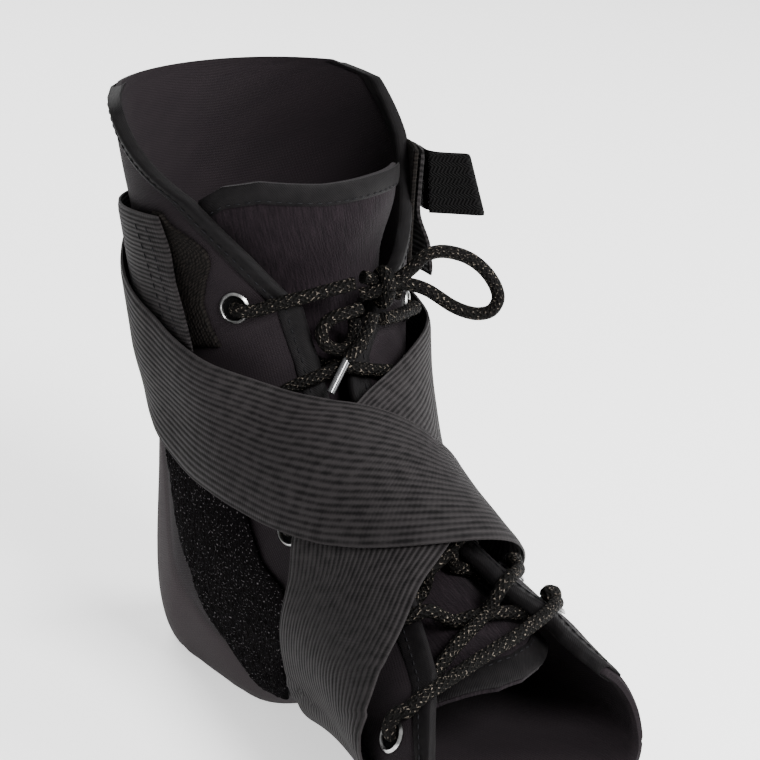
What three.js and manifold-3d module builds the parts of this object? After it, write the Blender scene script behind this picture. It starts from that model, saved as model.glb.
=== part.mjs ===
// A lace-up ankle brace with two figure-of-eight straps, as it sits on a left foot, standing on its sole.
// Millimetres, +Z up. The toes point to -Y and the inner side of the foot is -X.
// The origin is on the floor under the ankle, and the heel's flat underside is on z = 0.
import * as THREE from "three";
import { mergeVertices } from "three/addons/utils/BufferGeometryUtils.js";
import Module from "manifold-3d";

const wasm = await Module();
wasm.setup();

// Sizes of the foot that the brace is shaped to
const LEG_FRONT = 42;
const HEEL_REACH = 44;
const HALF_WIDTH = 42;
const INSTEP_REACH = 110;
const SOLE_REACH = 152;
const INSTEP_HEIGHT = 95;
const CUFF_RISE = 108;

// Walls and clearances
const SHELL_WALL = 3;
const TONGUE_WALL = 2.4;
const STRAP_WALL = 1.4;
const PATCH_WALL = 0.9;
const BINDING_WALL = 0.9;
const PIECE_GAP = 0.35;
const STRAP_GAP = 0.65;

// Trim
const STRAP_WIDTH = 38;
const BINDING_WIDTH = 6.5;
const BINDING_SEAM = 0.7;
const HEM_WIDTH = 6;
const TOE_HEM_WIDTH = 8;
const LACE_DIAMETER = 3.8;
const EYELET_OUTER = 9;
const EYELET_BORE = 6.7;
const EYELET_RISE = 0.6;
const EYELET_BARREL = 0.5;
const TAB_WIDTH = 18;
const TAB_REACH = 14.5;
const TAB_WALL = 1;
const LACE_HUMP = 1.0;
const AGLET_LENGTH = 10;
const AGLET_DIAMETER = 2.6;

const LACE_RADIUS = LACE_DIAMETER / 2;
const LACE_ROOM = LACE_DIAMETER + 3.5 * PIECE_GAP;

// A table with a name for each column: one object for each row
function table(names, rows) {
  const keys = names.split(" ");
  return rows.map((row) => Object.fromEntries(keys.map((key, i) => [key, row[i]])));
}

// Cross sections of the foot, from the cuff's rim down the leg, round the heel and along the foot.
// Each one's plane runs from a front point to a back point, both in the plane x = 0.
// Columns are shares of the named sizes: leg of LEG_FRONT, instep of INSTEP_REACH, heel of HEEL_REACH,
// sole of SOLE_REACH, low of INSTEP_HEIGHT, high of CUFF_RISE, shift and width of HALF_WIDTH.
// belly is where the section is widest, and square is how boxy its back is.
const SECTIONS = table(
  "leg instep frontLow frontHigh heel sole backLow backHigh shift width belly square",
  [
    [1.05, 0, 1, 1, 1.2, 0, 1, 1, 0, 1.18, 0.5, 2],
    [1, 0, 1, 0.7, 1.02, 0, 1, 0.7, 0, 1.06, 0.5, 2],
    [1, 0, 1, 0.47, 0.93, 0, 1, 0.454, 0, 0.976, 0.5, 2],
    [1, 0.01, 1, 0.26, 0.84, 0, 1, 0.194, 0, 0.917, 0.5, 1.9],
    [1, 0.036, 1, 0.11, 0.77, 0, 0.905, 0, 0, 0.88, 0.5, 1.8],
    [1, 0.11, 1, 0, 0.91, 0, 0.526, 0, -0.008, 0.85, 0.52, 1.9],
    [1, 0.22, 0.905, 0, 0.912, 0, 0.02, 0, -0.01, 0.815, 0.5, 2.55],
    [1, 0.345, 0.82, 0, 0.56, 0, -0.12, 0, 0.05, 0.772, 0.46, 3],
    [1, 0.47, 0.747, 0, 0, 0.14, -0.08, 0, 0.105, 0.75, 0.42, 2.9],
    [1, 0.6, 0.674, 0, 0, 0.368, 0.07, 0, 0.155, 0.8, 0.4, 2.78],
    [1, 0.736, 0.61, 0, 0, 0.63, 0.155, 0, 0.17, 0.85, 0.383, 2.6],
    [1, 0.873, 0.547, 0, 0, 0.895, 0.115, 0, 0.15, 0.888, 0.385, 2.45],
    [1, 1, 0.495, 0, 0, 1.05, 0, 0, 0.135, 0.924, 0.36, 2.37],
  ],
);
const LAST_SECTION = SECTIONS.length - 1;

// Edges of the two lacing flaps: the angle from the front at a station.
// A station counts sections, and angles are in degrees, positive on the outer side.
const INNER_EDGE = table("station angle", [
  [0.85, -128],
  [0.95, -106],
  [1.45, -77],
  [1.75, -57],
  [2.35, -35],
  [3, -15],
  [3.9, -10],
  [4.5, -9],
  [6.5, -11],
  [8.47, -22],
  [9.53, -30],
  [10.54, -36],
  [10.92, -42],
  [11.4, -51],
  [12, -64],
]);
const OUTER_EDGE = table("station angle", [
  [0.85, 128],
  [0.95, 106],
  [1.45, 84],
  [1.95, 70],
  [2.35, 58],
  [2.6, 46],
  [2.85, 32],
  [3.1, 24],
  [3.38, 17],
  [3.67, 11],
  [3.98, 6],
  [4.6, 4],
  [6.5, 5],
  [8.66, 16],
  [9.1, 17],
  [9.48, 22],
  [9.82, 29],
  [10.42, 32],
  [10.75, 38],
  [11, 47],
]);

// Where the shell ends at the toes, round the foot: the inner side reaches further forward
const TOE_END = table("angle station", [
  [-300, 11],
  [-270, 11.15],
  [-225, 11.3],
  [-180, 11.45],
  [-135, 11.6],
  [-90, 11.8],
  [-60, 12],
]);

// Eyelets, from the top pair to the toe pair
const EYELETS = table("innerStation innerAngle outerStation outerAngle", [
  [2.98, -42, 3.38, 54],
  [4.62, -41, 4.4, 46],
  [5.63, -41, 5.5, 44],
  [6.79, -46, 6.55, 42],
  [8.1, -52, 7.6, 44],
  [9.5, -58, 8.65, 46],
  [10.85, -69, 9.6, 46],
]);

const lerp = (a, b, t) => a + (b - a) * t;
const smooth = (low, high, value) => THREE.MathUtils.smoothstep(value, low, high);
const degrees = THREE.MathUtils.degToRad;

// A value read from a table's column at a given key, in straight steps
function readTable(rows, key, column, at) {
  const next = rows.findIndex((row) => row[key] >= at);
  if (next <= 0) return next === 0 ? rows[0][column] : rows[rows.length - 1][column];
  const a = rows[next - 1];
  const b = rows[next];
  return lerp(a[column], b[column], (at - a[key]) / (b[key] - a[key]));
}

// A smooth curve through four values in a row
function catmullRom(p0, p1, p2, p3, t) {
  const m1 = (p2 - p0) / 2;
  const m2 = (p3 - p1) / 2;
  const t2 = t * t;
  const t3 = t2 * t;
  return (2 * t3 - 3 * t2 + 1) * p1 + (t3 - 2 * t2 + t) * m1 + (3 * t2 - 2 * t3) * p2 + (t3 - t2) * m2;
}

function sectionAt(station) {
  const s = THREE.MathUtils.clamp(station, 0, LAST_SECTION);
  const i = Math.min(Math.floor(s), LAST_SECTION - 1);
  const rows = [Math.max(i - 1, 0), i, i + 1, Math.min(i + 2, LAST_SECTION)].map((k) => SECTIONS[k]);
  const read = (key) => catmullRom(...rows.map((row) => row[key]), s - i);
  return {
    frontY: -LEG_FRONT * read("leg") - INSTEP_REACH * read("instep"),
    frontZ: INSTEP_HEIGHT * read("frontLow") + CUFF_RISE * read("frontHigh"),
    backY: HEEL_REACH * read("heel") - SOLE_REACH * read("sole"),
    backZ: INSTEP_HEIGHT * read("backLow") + CUFF_RISE * read("backHigh"),
    shift: HALF_WIDTH * read("shift"),
    width: HALF_WIDTH * read("width"),
    belly: read("belly"),
    square: read("square"),
  };
}

// A point of the brace's outer skin, before the sole is flattened
function roundSkin(station, angle) {
  const section = sectionAt(station);
  const c = Math.cos(degrees(angle));
  const s = Math.sin(degrees(angle));
  const power = lerp(2, section.square, smooth(0, 1, (1 - c) / 2));
  const reach = (Math.abs(c) ** power + Math.abs(s) ** power) ** (-1 / power);
  const fore = section.belly + (c > 0 ? 1 - section.belly : section.belly) * c * reach;
  return new THREE.Vector3(
    section.shift + section.width * s * reach,
    lerp(section.backY, section.frontY, fore),
    lerp(section.backZ, section.frontZ, fore),
  );
}

function skinNormal(station, angle) {
  const e = 0.02;
  const low = Math.max(station - e, 0);
  const high = Math.min(station + e, LAST_SECTION);
  const along = roundSkin(high, angle).sub(roundSkin(low, angle));
  const round = roundSkin(station, angle + 0.4).sub(roundSkin(station, angle - 0.4));
  return along.cross(round).normalize();
}

// A point at a height over the skin. The shell's own faces are flat where the sole rests.
function onSkin(station, angle, lift, floor = -Infinity) {
  const point = roundSkin(station, angle).addScaledVector(skinNormal(station, angle), lift);
  point.z = Math.max(point.z, floor);
  return point;
}

// How far a step of one station and of one degree goes on the skin at a point
function skinSteps(station, angle) {
  const e = 0.05;
  return {
    along: roundSkin(station + e, angle).sub(roundSkin(station - e, angle)).divideScalar(2 * e),
    round: roundSkin(station, angle + 1).sub(roundSkin(station, angle - 1)).divideScalar(2),
  };
}

// The place on the skin that lies a distance away in a direction
function moveOnSkin(place, direction, distance, steps = 3) {
  let { station, angle } = place;
  for (let i = 0; i < steps; i += 1) {
    const { along, round } = skinSteps(station, angle);
    const aa = along.dot(along);
    const rr = round.dot(round);
    const ar = along.dot(round);
    const da = direction.dot(along);
    const dr = direction.dot(round);
    const flat = aa * rr - ar * ar;
    const dStation = (da * rr - dr * ar) / flat;
    const dAngle = (dr * aa - da * ar) / flat;
    const length = along.clone().multiplyScalar(dStation).addScaledVector(round, dAngle).length();
    station += (dStation / length) * (distance / steps);
    angle += (dAngle / length) * (distance / steps);
    station = THREE.MathUtils.clamp(station, 0.02, LAST_SECTION);
  }
  return { station, angle };
}

// A closed wall between two grids of points, an outer face and an inner one, with rims between them
function wallGeometry(outer, inner) {
  const rows = outer.length;
  const columns = outer[0].length;
  const positions = [...outer.flat(), ...inner.flat()].flatMap((p) => [p.x, p.y, p.z]);
  const top = (i, j) => i * columns + j;
  const under = (i, j) => rows * columns + i * columns + j;
  const index = [];
  const quad = (a, b, c, d) => index.push(a, b, c, a, c, d);
  for (let i = 0; i < rows - 1; i += 1) {
    for (let j = 0; j < columns - 1; j += 1) {
      quad(top(i, j), top(i + 1, j), top(i + 1, j + 1), top(i, j + 1));
      quad(under(i, j), under(i, j + 1), under(i + 1, j + 1), under(i + 1, j));
    }
    quad(top(i + 1, 0), top(i, 0), under(i, 0), under(i + 1, 0));
    quad(top(i, columns - 1), top(i + 1, columns - 1), under(i + 1, columns - 1), under(i, columns - 1));
  }
  for (let j = 0; j < columns - 1; j += 1) {
    quad(top(0, j), top(0, j + 1), under(0, j + 1), under(0, j));
    quad(top(rows - 1, j + 1), top(rows - 1, j), under(rows - 1, j), under(rows - 1, j + 1));
  }
  return facingOut(positions, index);
}

// An indexed geometry whose faces are turned to point outwards
function facingOut(positions, index) {
  const corner = (k) => new THREE.Vector3().fromArray(positions, 3 * index[k]);
  let volume = 0;
  for (let k = 0; k < index.length; k += 3) {
    volume += corner(k).dot(corner(k + 1).cross(corner(k + 2)));
  }
  if (volume < 0) index.reverse();
  const geometry = new THREE.BufferGeometry();
  geometry.setAttribute("position", new THREE.Float32BufferAttribute(positions, 3));
  geometry.setIndex(index);
  return geometry;
}

// A closed tube of a few sides through a list of points
function tubeGeometry(points, radius, sides) {
  const positions = [];
  const index = [];
  const last = points.length - 1;
  const tangent = (i) => {
    const before = points[Math.max(i - 1, 0)];
    return points[Math.min(i + 1, last)].clone().sub(before).normalize();
  };
  let normal = new THREE.Vector3(0.3, 0.2, 1).cross(tangent(0)).normalize();
  points.forEach((point, i) => {
    const along = tangent(i);
    normal = normal.clone().addScaledVector(along, -normal.dot(along)).normalize();
    const side = along.clone().cross(normal);
    for (let k = 0; k < sides; k += 1) {
      const turn = (2 * Math.PI * k) / sides;
      const p = point.clone();
      p.addScaledVector(normal, radius * Math.cos(turn)).addScaledVector(side, radius * Math.sin(turn));
      positions.push(p.x, p.y, p.z);
    }
  });
  for (let i = 0; i < last; i += 1) {
    for (let k = 0; k < sides; k += 1) {
      const a = i * sides + k;
      const b = i * sides + ((k + 1) % sides);
      index.push(a, b, b + sides, a, b + sides, a + sides);
    }
  }
  for (let k = 1; k < sides - 1; k += 1) {
    index.push(0, k + 1, k);
    index.push(last * sides, last * sides + k, last * sides + k + 1);
  }
  return facingOut(positions, index);
}

// Solids and meshes to and from the library that cuts
function toSolid(geometry) {
  const bare = geometry.index ? geometry.clone() : mergeVertices(geometry);
  const merged = mergeVertices(onlyPositions(bare), 1e-4);
  return new wasm.Manifold(
    new wasm.Mesh({
      numProp: 3,
      vertProperties: merged.attributes.position.array,
      triVerts: new Uint32Array(merged.index.array),
    }),
  );
}

function onlyPositions(geometry) {
  geometry.deleteAttribute("normal");
  geometry.deleteAttribute("uv");
  return geometry;
}

function fromSolid(solid) {
  const mesh = solid.getMesh();
  const geometry = new THREE.BufferGeometry();
  geometry.setAttribute("position", new THREE.BufferAttribute(mesh.vertProperties, 3));
  geometry.setIndex(new THREE.BufferAttribute(mesh.triVerts, 1));
  return geometry;
}

// Materials, one for each stuff that the brace is made of
const finish = (color, roughness, metalness = 0) => () =>
  new THREE.MeshStandardMaterial({ color, roughness, metalness });
const NEOPRENE = finish(0x17171b, 0.85);
const NAPPED = finish(0x1c1822, 0.95);
const TAPE = finish(0x141416, 0.7);
const WEBBING = finish(0x1a1a1d, 0.8);
const LOOP_PILE = finish(0x101014, 1);
const HOOK = finish(0x2a2523, 0.9);
const CORD = finish(0x1e1b18, 0.75);
const METAL = finish(0xb8b8b4, 0.3, 1);
const CLEAR = finish(0xbfc4c8, 0.2);

const brace = new THREE.Group();

function addPiece(name, geometry, material) {
  const mesh = new THREE.Mesh(geometry, material());
  mesh.name = name;
  brace.add(mesh);
  return mesh;
}

// The stations where a grid has its rows, evenly spread
function stationRows(from, to, count) {
  return Array.from({ length: count + 1 }, (_, i) => lerp(from, to, i / count));
}

const innerEdge = (station) => readTable(INNER_EDGE, "station", "angle", station);
const outerEdge = (station) => readTable(OUTER_EDGE, "station", "angle", station);
const millimetresPerDegree = (station, angle) => skinSteps(station, angle).round.length();

// The shell: one neoprene wall from the inner flap's edge round the heel to the outer flap's edge.
// Its outer face is thinner under the two bindings, as far in as they reach.
const SHELL_ROWS = table("from to count", [
  [0.85, 4.6, 12],
  [4.6, 9, 8],
  [9, 12, 5],
]);
const SHELL_COLUMNS = 20;
const BINDING_PROUD = 0.1;
const BINDING_GAP = 0.6;
const BINDING_SINK = BINDING_WALL + BINDING_GAP - BINDING_PROUD;
const LAST_STRAIGHT = 8;

// The station that a row of the shell has at an angle: past the heel the rows lean with the toe end
function leaningStation(row, angle) {
  if (row <= LAST_STRAIGHT) return row;
  const share = (row - LAST_STRAIGHT) / (LAST_SECTION - LAST_STRAIGHT);
  return lerp(LAST_STRAIGHT, readTable(TOE_END, "angle", "station", angle), share);
}

function shellAngles(row) {
  const station = row;
  const inner = innerEdge(station);
  const outerStation = leaningStation(row, TOE_END[0].angle);
  const outer = outerEdge(outerStation) - 360;
  const under = BINDING_WIDTH + 4 * PIECE_GAP;
  const stepInner = under / millimetresPerDegree(station, inner);
  const stepOuter = under / millimetresPerDegree(outerStation, outer);
  const seamInner = BINDING_SEAM / millimetresPerDegree(station, inner);
  const seamOuter = BINDING_SEAM / millimetresPerDegree(outerStation, outer);
  const from = inner - stepInner - seamInner;
  const to = outer + stepOuter + seamOuter;
  const middle = Array.from({ length: SHELL_COLUMNS + 1 }, (_, j) => lerp(from, to, j / SHELL_COLUMNS));
  return {
    angles: [inner, inner - stepInner, ...middle, outer + stepOuter, outer],
    sunk: (j, count) => j < 2 || j > count - 3,
  };
}

function shellGeometry() {
  const stations = SHELL_ROWS.flatMap(({ from, to, count }) => stationRows(from, to, count).slice(0, count));
  stations.push(LAST_SECTION);
  const outerFace = [];
  const innerFace = [];
  stations.forEach((row) => {
    const { angles, sunk } = shellAngles(row);
    const sink = (j) => (sunk(j, angles.length) ? -BINDING_SINK : 0);
    outerFace.push(angles.map((a, j) => onSkin(leaningStation(row, a), a, sink(j), 0)));
    innerFace.push(angles.map((a) => onSkin(leaningStation(row, a), a, -SHELL_WALL, SHELL_WALL)));
  });
  let solid = toSolid(wallGeometry(outerFace, innerFace));
  eyeletPlaces().forEach(({ station, angle }) => {
    solid = solid.subtract(toSolid(eyeletHole(station, angle)));
  });
  return fromSolid(solid);
}

// Eyelets: pressed rings in holes punched through both flaps
const EYELET_SIDES = 8;

function eyeletPlaces() {
  return EYELETS.flatMap((row, i) => [
    { side: "inner", number: i + 1, station: row.innerStation, angle: row.innerAngle },
    { side: "outer", number: i + 1, station: row.outerStation, angle: row.outerAngle },
  ]);
}

function standOnSkin(geometry, station, angle) {
  const turn = new THREE.Quaternion().setFromUnitVectors(
    new THREE.Vector3(0, 1, 0),
    skinNormal(station, angle),
  );
  geometry.applyQuaternion(turn);
  const at = roundSkin(station, angle);
  geometry.translate(at.x, at.y, at.z);
  return geometry;
}

function eyeletHole(station, angle) {
  const radius = EYELET_BORE / 2 + EYELET_BARREL + PIECE_GAP;
  const depth = 4 * SHELL_WALL;
  const hole = new THREE.CylinderGeometry(radius, radius, depth, EYELET_SIDES);
  return standOnSkin(onlyPositions(hole), station, angle);
}

function eyeletGeometry(station, angle) {
  const bore = EYELET_BORE / 2;
  const barrel = bore + EYELET_BARREL;
  const foot = PIECE_GAP;
  const profile = [
    [bore, -SHELL_WALL],
    [bore + 0.1, foot + EYELET_RISE],
    [EYELET_OUTER / 2, foot],
    [barrel, foot],
    [barrel, -SHELL_WALL],
    [bore, -SHELL_WALL],
  ].map(([r, h]) => new THREE.Vector2(r, h));
  const ring = mergeVertices(onlyPositions(new THREE.LatheGeometry(profile, EYELET_SIDES)), 1e-4);
  return facingOut([...standOnSkin(ring, station, angle).attributes.position.array], [...ring.index.array]);
}

// The bindings: a folded tape along each flap's edge, from the back of the cuff down to the toe edge
function bindingGeometry(edge, side, last) {
  const stations = stationRows(INNER_EDGE[0].station + 0.02, last - 0.02, 42);
  const base = -BINDING_SINK + BINDING_GAP;
  const across = [0.2, BINDING_WIDTH];
  const face = (lift) =>
    stations.map((station) =>
      across.map((mm) => {
        const angle = edge(station) + (side * mm) / millimetresPerDegree(station, edge(station));
        return onSkin(station, angle, lift, PIECE_GAP);
      }),
    );
  return wallGeometry(face(base + BINDING_WALL), face(base));
}

// The tongue: a padded panel inside the flaps. Under the lacing it lies lower, to leave the lace its room.
const TONGUE_HALF_ANGLE = 56;
const TONGUE_TOP = table("angle station", [
  [-56, 1.56],
  [-28, 1.49],
  [0, 1.57],
  [28, 1.58],
  [56, 1.62],
]);
const TONGUE_TOE = table("angle station", [
  [-56, 10.5],
  [-38, 10.63],
  [-28, 10.73],
  [-7, 10.92],
  [8, 10.85],
  [24, 10.56],
  [40, 10.13],
  [56, 9.8],
]);
const tongueTop = (angle) => readTable(TONGUE_TOP, "angle", "station", angle);
const tongueToe = (angle) => readTable(TONGUE_TOE, "angle", "station", angle);
const TOE_SINK = 1;
const TOP_SINK = PIECE_GAP + 1;

function tongueLift(station) {
  const sink = TOE_SINK * smooth(9.1, 9.9, station);
  return -SHELL_WALL - lerp(TOP_SINK, LACE_ROOM, smooth(1.9, 2.7, station)) - sink;
}

function tongueFace(from, to, rows, columns, lift) {
  return Array.from({ length: rows + 1 }, (_, i) =>
    Array.from({ length: columns + 1 }, (_, j) => {
      const angle = lerp(-TONGUE_HALF_ANGLE, TONGUE_HALF_ANGLE, j / columns);
      const station = lerp(from(angle), to(angle), i / rows);
      return onSkin(station, angle, tongueLift(station) + lift);
    }),
  );
}

function tongueGeometry() {
  const face = (lift) => tongueFace(tongueTop, tongueToe, 19, 10, lift);
  return wallGeometry(face(0), face(-TONGUE_WALL));
}

// The hems: smooth bands sewn along the tongue's top and toe edges
function hemGeometry(edge, side, width) {
  const sections = (angle) => width / skinSteps(edge(angle), angle).along.length();
  const inset = (share) => (angle) => edge(angle) + side * share * sections(angle);
  const face = (lift) => tongueFace(inset(0.02), inset(1), 2, 10, lift);
  return wallGeometry(face(PIECE_GAP + 0.6), face(PIECE_GAP * 0.6));
}

// Loop pile panels on the sides of the heel, where the straps' hooks can grip
const PATCH_EDGES = table("station front back", [
  [3.9, 62, 100],
  [4.6, 56, 95],
  [5.5, 53, 91],
  [6.3, 56, 89],
  [7, 62, 95],
  [7.5, 67, 98],
  [7.9, 75, 108],
]);

function patchGeometry(side) {
  const first = PATCH_EDGES[0].station;
  const last = PATCH_EDGES[PATCH_EDGES.length - 1].station;
  const face = (lift) =>
    stationRows(first, last, 12).map((station) => {
      const front = readTable(PATCH_EDGES, "station", "front", station);
      const back = readTable(PATCH_EDGES, "station", "back", station);
      return Array.from({ length: 6 }, (_, j) => onSkin(station, side * lerp(front, back, j / 5), lift));
    });
  return wallGeometry(face(PIECE_GAP + PATCH_WALL), face(PIECE_GAP));
}

// The straps run from under the arch over the instep, round the back of the leg and forward again.
// Each row is a place on the strap's middle line, and width is a share of STRAP_WIDTH:
// the elastic webbing is stretched wider over the instep and the arch.
const DIAGONAL_STRAP = table("station angle width", [
  [9.5, 172, 1],
  [9.1, 142, 1],
  [8.5, 112, 1],
  [7.85, 84, 1],
  [7.5, 58, 1.04],
  [7.42, 34, 1.1],
  [7.28, 10, 1.16],
  [6.6, -11, 1],
  [5.88, -27, 0.92],
  [5.14, -45, 0.93],
  [4.56, -63, 0.97],
  [4.1, -80, 1],
  [3.72, -98, 1],
  [3.15, -135, 1],
  [2.7, -178, 1],
  [2.45, -218, 1],
  [2.3, -258, 1],
  [2.28, -292, 1],
]);
const UPRIGHT_STRAP = table("station angle width", [
  [9.75, -172, 1.05],
  [9.75, -130, 1.1],
  [9.62, -95, 1.16],
  [9.25, -70, 1.2],
  [8.6, -48, 1.2],
  [7.8, -26, 1.12],
  [7.1, -7, 1.04],
  [6.35, 12, 1],
  [5.55, 32, 1],
  [4.8, 54, 1],
  [4.2, 84, 1],
  [3.55, 118, 1],
  [3.05, 155, 1],
  [2.8, 195, 1],
  [2.72, 235, 1],
  [2.7, 270, 1],
  [2.7, 303, 1],
]);

// The strap's middle line as evenly spread places on the skin
function strapPlaces(rows, count) {
  const read = (t) => {
    const x = t * (rows.length - 1);
    const i = Math.min(Math.floor(x), rows.length - 2);
    const four = [Math.max(i - 1, 0), i, i + 1, Math.min(i + 2, rows.length - 1)].map((k) => rows[k]);
    const pick = (key) => catmullRom(...four.map((row) => row[key]), x - i);
    return { station: pick("station"), angle: pick("angle"), width: pick("width") };
  };
  return Array.from({ length: count + 1 }, (_, i) => read(i / count));
}

const straightThrough = (places) => places.map(({ station, angle }) => roundSkin(station, angle));

// How much of the lacing's height a strap has to clear at a place: all of it between the eyelets,
// and less of it over the next degrees
const LACING_MARGIN = 5;
const LACING_FADE = 13;
function lacingShare(station, angle) {
  const turned = THREE.MathUtils.euclideanModulo(angle + 180, 360) - 180;
  const rows = EYELETS.map((row) => ({
    station: turned < 0 ? row.innerStation : row.outerStation,
    eyelet: turned < 0 ? -row.innerAngle : row.outerAngle,
  }));
  const eyelet = readTable(rows, "station", "eyelet", station);
  const upTo = smooth(2.2, 2.7, station);
  const from = eyelet + LACING_MARGIN;
  return upTo * (1 - smooth(from, from + LACING_FADE, Math.abs(turned)));
}

const LACE_LIFT = BINDING_PROUD + PIECE_GAP + LACE_RADIUS;

function baseLift(station, angle) {
  const low = PIECE_GAP + PATCH_WALL + STRAP_GAP;
  const high = LACE_LIFT + LACE_RADIUS + LACE_HUMP + STRAP_GAP;
  return lerp(low, high, lacingShare(station, angle));
}

// A strap as a sheet of grid points, at the height that a function gives for each place
function strapFaces(rows, count, lift) {
  const places = strapPlaces(rows, count);
  const line = straightThrough(places);
  const columns = [-1, -0.34, 0.34, 1];
  const edges = places.map((place, i) => {
    const half = (place.width * STRAP_WIDTH) / 2;
    const ahead = line[Math.min(i + 1, count)].clone().sub(line[Math.max(i - 1, 0)]).normalize();
    const across = ahead.cross(skinNormal(place.station, place.angle)).normalize();
    return columns.map((share) =>
      moveOnSkin(place, across.clone().multiplyScalar(Math.sign(share)), Math.abs(share) * half),
    );
  });
  const face = (extra) =>
    edges.map((row) => row.map((p) => onSkin(p.station, p.angle, lift(p.station, p.angle) + extra)));
  return { outer: face(STRAP_WALL), inner: face(0) };
}

const STRAP_STEPS = 52;
const uprightLine = straightThrough(strapPlaces(UPRIGHT_STRAP, 2 * STRAP_STEPS));

// The diagonal strap lies on top wherever the upright one is under it
function diagonalLift(station, angle) {
  const here = roundSkin(station, angle);
  const distance = Math.min(...uprightLine.map((p) => p.distanceTo(here)));
  const half = STRAP_WIDTH / 2;
  const over = 1 - smooth(half + 3, half + 13, distance);
  return baseLift(station, angle) + over * (STRAP_WALL + STRAP_GAP + PIECE_GAP);
}

// The lace. It crosses the tongue between the flaps, and passes each eyelet from one face to the other.
const ABOVE = LACE_LIFT;
const BELOW = -SHELL_WALL - 1.5 * PIECE_GAP - LACE_RADIUS;

// The eyelets in the order of the lace, the face by which it enters each, and how far the middle of
// the run to the next eyelet lies off the straight line, in stations
const LACE_ORDER = table("side number enters bow", [
  ["inner", 1, ABOVE, 0.45],
  ["outer", 2, ABOVE, 0],
  ["inner", 3, ABOVE, 0],
  ["outer", 4, BELOW, 0],
  ["inner", 5, BELOW, 0],
  ["outer", 6, BELOW, 0.15],
  ["inner", 7, BELOW, 0.5],
  ["outer", 7, ABOVE, 0],
  ["inner", 6, ABOVE, 0],
  ["outer", 5, ABOVE, 0],
  ["inner", 4, ABOVE, 0],
  ["outer", 3, BELOW, 0],
  ["inner", 2, BELOW, 0],
  ["outer", 1, BELOW, 0],
]);

// Points through one eyelet, from the entering face to the other, bending in from the flap's edge
function throughEyelet(place, enters) {
  const { station, angle, side } = place;
  const towards = side === "inner" ? 1 : -1;
  const degree = 1 / millimetresPerDegree(station, angle);
  const deepest = -SHELL_WALL - 1.3;
  const bend = [
    [6.5, ABOVE + 0.2],
    [3.4, ABOVE + LACE_HUMP],
    [1, ABOVE - 0.5],
    [0, -0.8],
    [0.5, deepest],
    [3, BELOW],
    [6, BELOW],
  ];
  const points = bend.map(([mm, lift]) => onSkin(station, angle + towards * mm * degree, lift));
  return enters === ABOVE ? points : points.reverse();
}

// Points across the tongue from one flap to the other
function acrossTongue(from, to, leaves, enters, middleLift) {
  const place = (share) => ({
    station: lerp(from.station, to.station, share) + from.bow * Math.sin(Math.PI * share),
    angle: lerp(from.angle, to.angle, share),
  });
  const isOpen = (share) => {
    const { station, angle } = place(share);
    return angle > innerEdge(station) && angle < outerEdge(station);
  };
  const shares = Array.from({ length: 201 }, (_, i) => i / 200);
  const leaveShare = shares.find(isOpen);
  const enterShare = shares.findLast(isOpen);
  const margin = 3.5 / (millimetresPerDegree(from.station, 0) * Math.abs(to.angle - from.angle));
  const start = leaveShare + margin;
  const end = enterShare - margin;
  const wide = end - start > 2 * margin;
  const steps = [
    [leaveShare / 2, leaves],
    [leaveShare - 0.6 * margin, leaves + 0.1],
    [start, leaves === ABOVE ? ABOVE - 0.6 : leaves],
    ...(wide ? [0.25, 0.5, 0.75] : [0.5]).map((share) => [lerp(start, end, share), middleLift]),
    [end, enters === ABOVE ? ABOVE - 0.6 : enters],
    [enterShare + 0.6 * margin, enters + 0.1],
    [(1 + enterShare) / 2, enters],
  ];
  return steps.map(([share, lift]) => {
    const at = place(share);
    return onSkin(at.station, at.angle, lift);
  });
}

function lacePoints() {
  const places = eyeletPlaces();
  const stops = LACE_ORDER.map(({ side, number, enters, bow }) => ({
    ...places.find((p) => p.side === side && p.number === number),
    enters,
    bow,
    leaves: enters === ABOVE ? BELOW : ABOVE,
  }));
  const points = LACE_START.map(placed);
  stops.forEach((stop, i) => {
    points.push(...throughEyelet(stop, stop.enters));
    const next = stops[i + 1];
    if (!next) return;
    const isBar = stop.number === next.number;
    const low = tongueLift(stop.station) + 3 * PIECE_GAP + LACE_RADIUS;
    const crossing = stop.side === "inner" ? low + LACE_ROOM : low;
    points.push(...acrossTongue(stop, next, stop.leaves, next.enters, isBar ? ABOVE - 1 : crossing));
  });
  return [...points, ...LACE_END.map(placed)];
}

// The knot over the top of the lacing, where the lace's two ends come from the first eyelets
const KNOT = { station: 2.83, angle: 18, lift: 5.4 };
const LACE_START = table("station angle lift", [
  [2.71, 6, 4.4],
  [2.76, -2, 3],
  [2.82, -12, 2.5],
  [2.88, -22, 2.5],
]);
const LACE_END = table("station angle lift", [
  [3.38, 37, 2.5],
  [3.37, 29, 2.6],
  [3.35, 21, 2.9],
]);
const placed = ({ station, angle, lift }) => onSkin(station, angle, lift);

// Directions at the knot: to the outer side, up, and away from the leg
const BOW_SIDE = new THREE.Vector3(0.975, -0.2, -0.09).normalize();
const BOW_OUT = new THREE.Vector3(-0.2, -0.98, 0.05).normalize();
const BOW_UP = BOW_OUT.clone().cross(BOW_SIDE).normalize();

// A point given in millimetres from the knot
function fromKnot([side, up, out]) {
  const point = placed(KNOT);
  return point.addScaledVector(BOW_SIDE, side).addScaledVector(BOW_UP, up).addScaledVector(BOW_OUT, out);
}

// A smooth open curve through chosen points, as evenly spread points
function alongCurve(points, count) {
  return new THREE.CatmullRomCurve3(points, false, "centripetal").getSpacedPoints(count);
}

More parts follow.
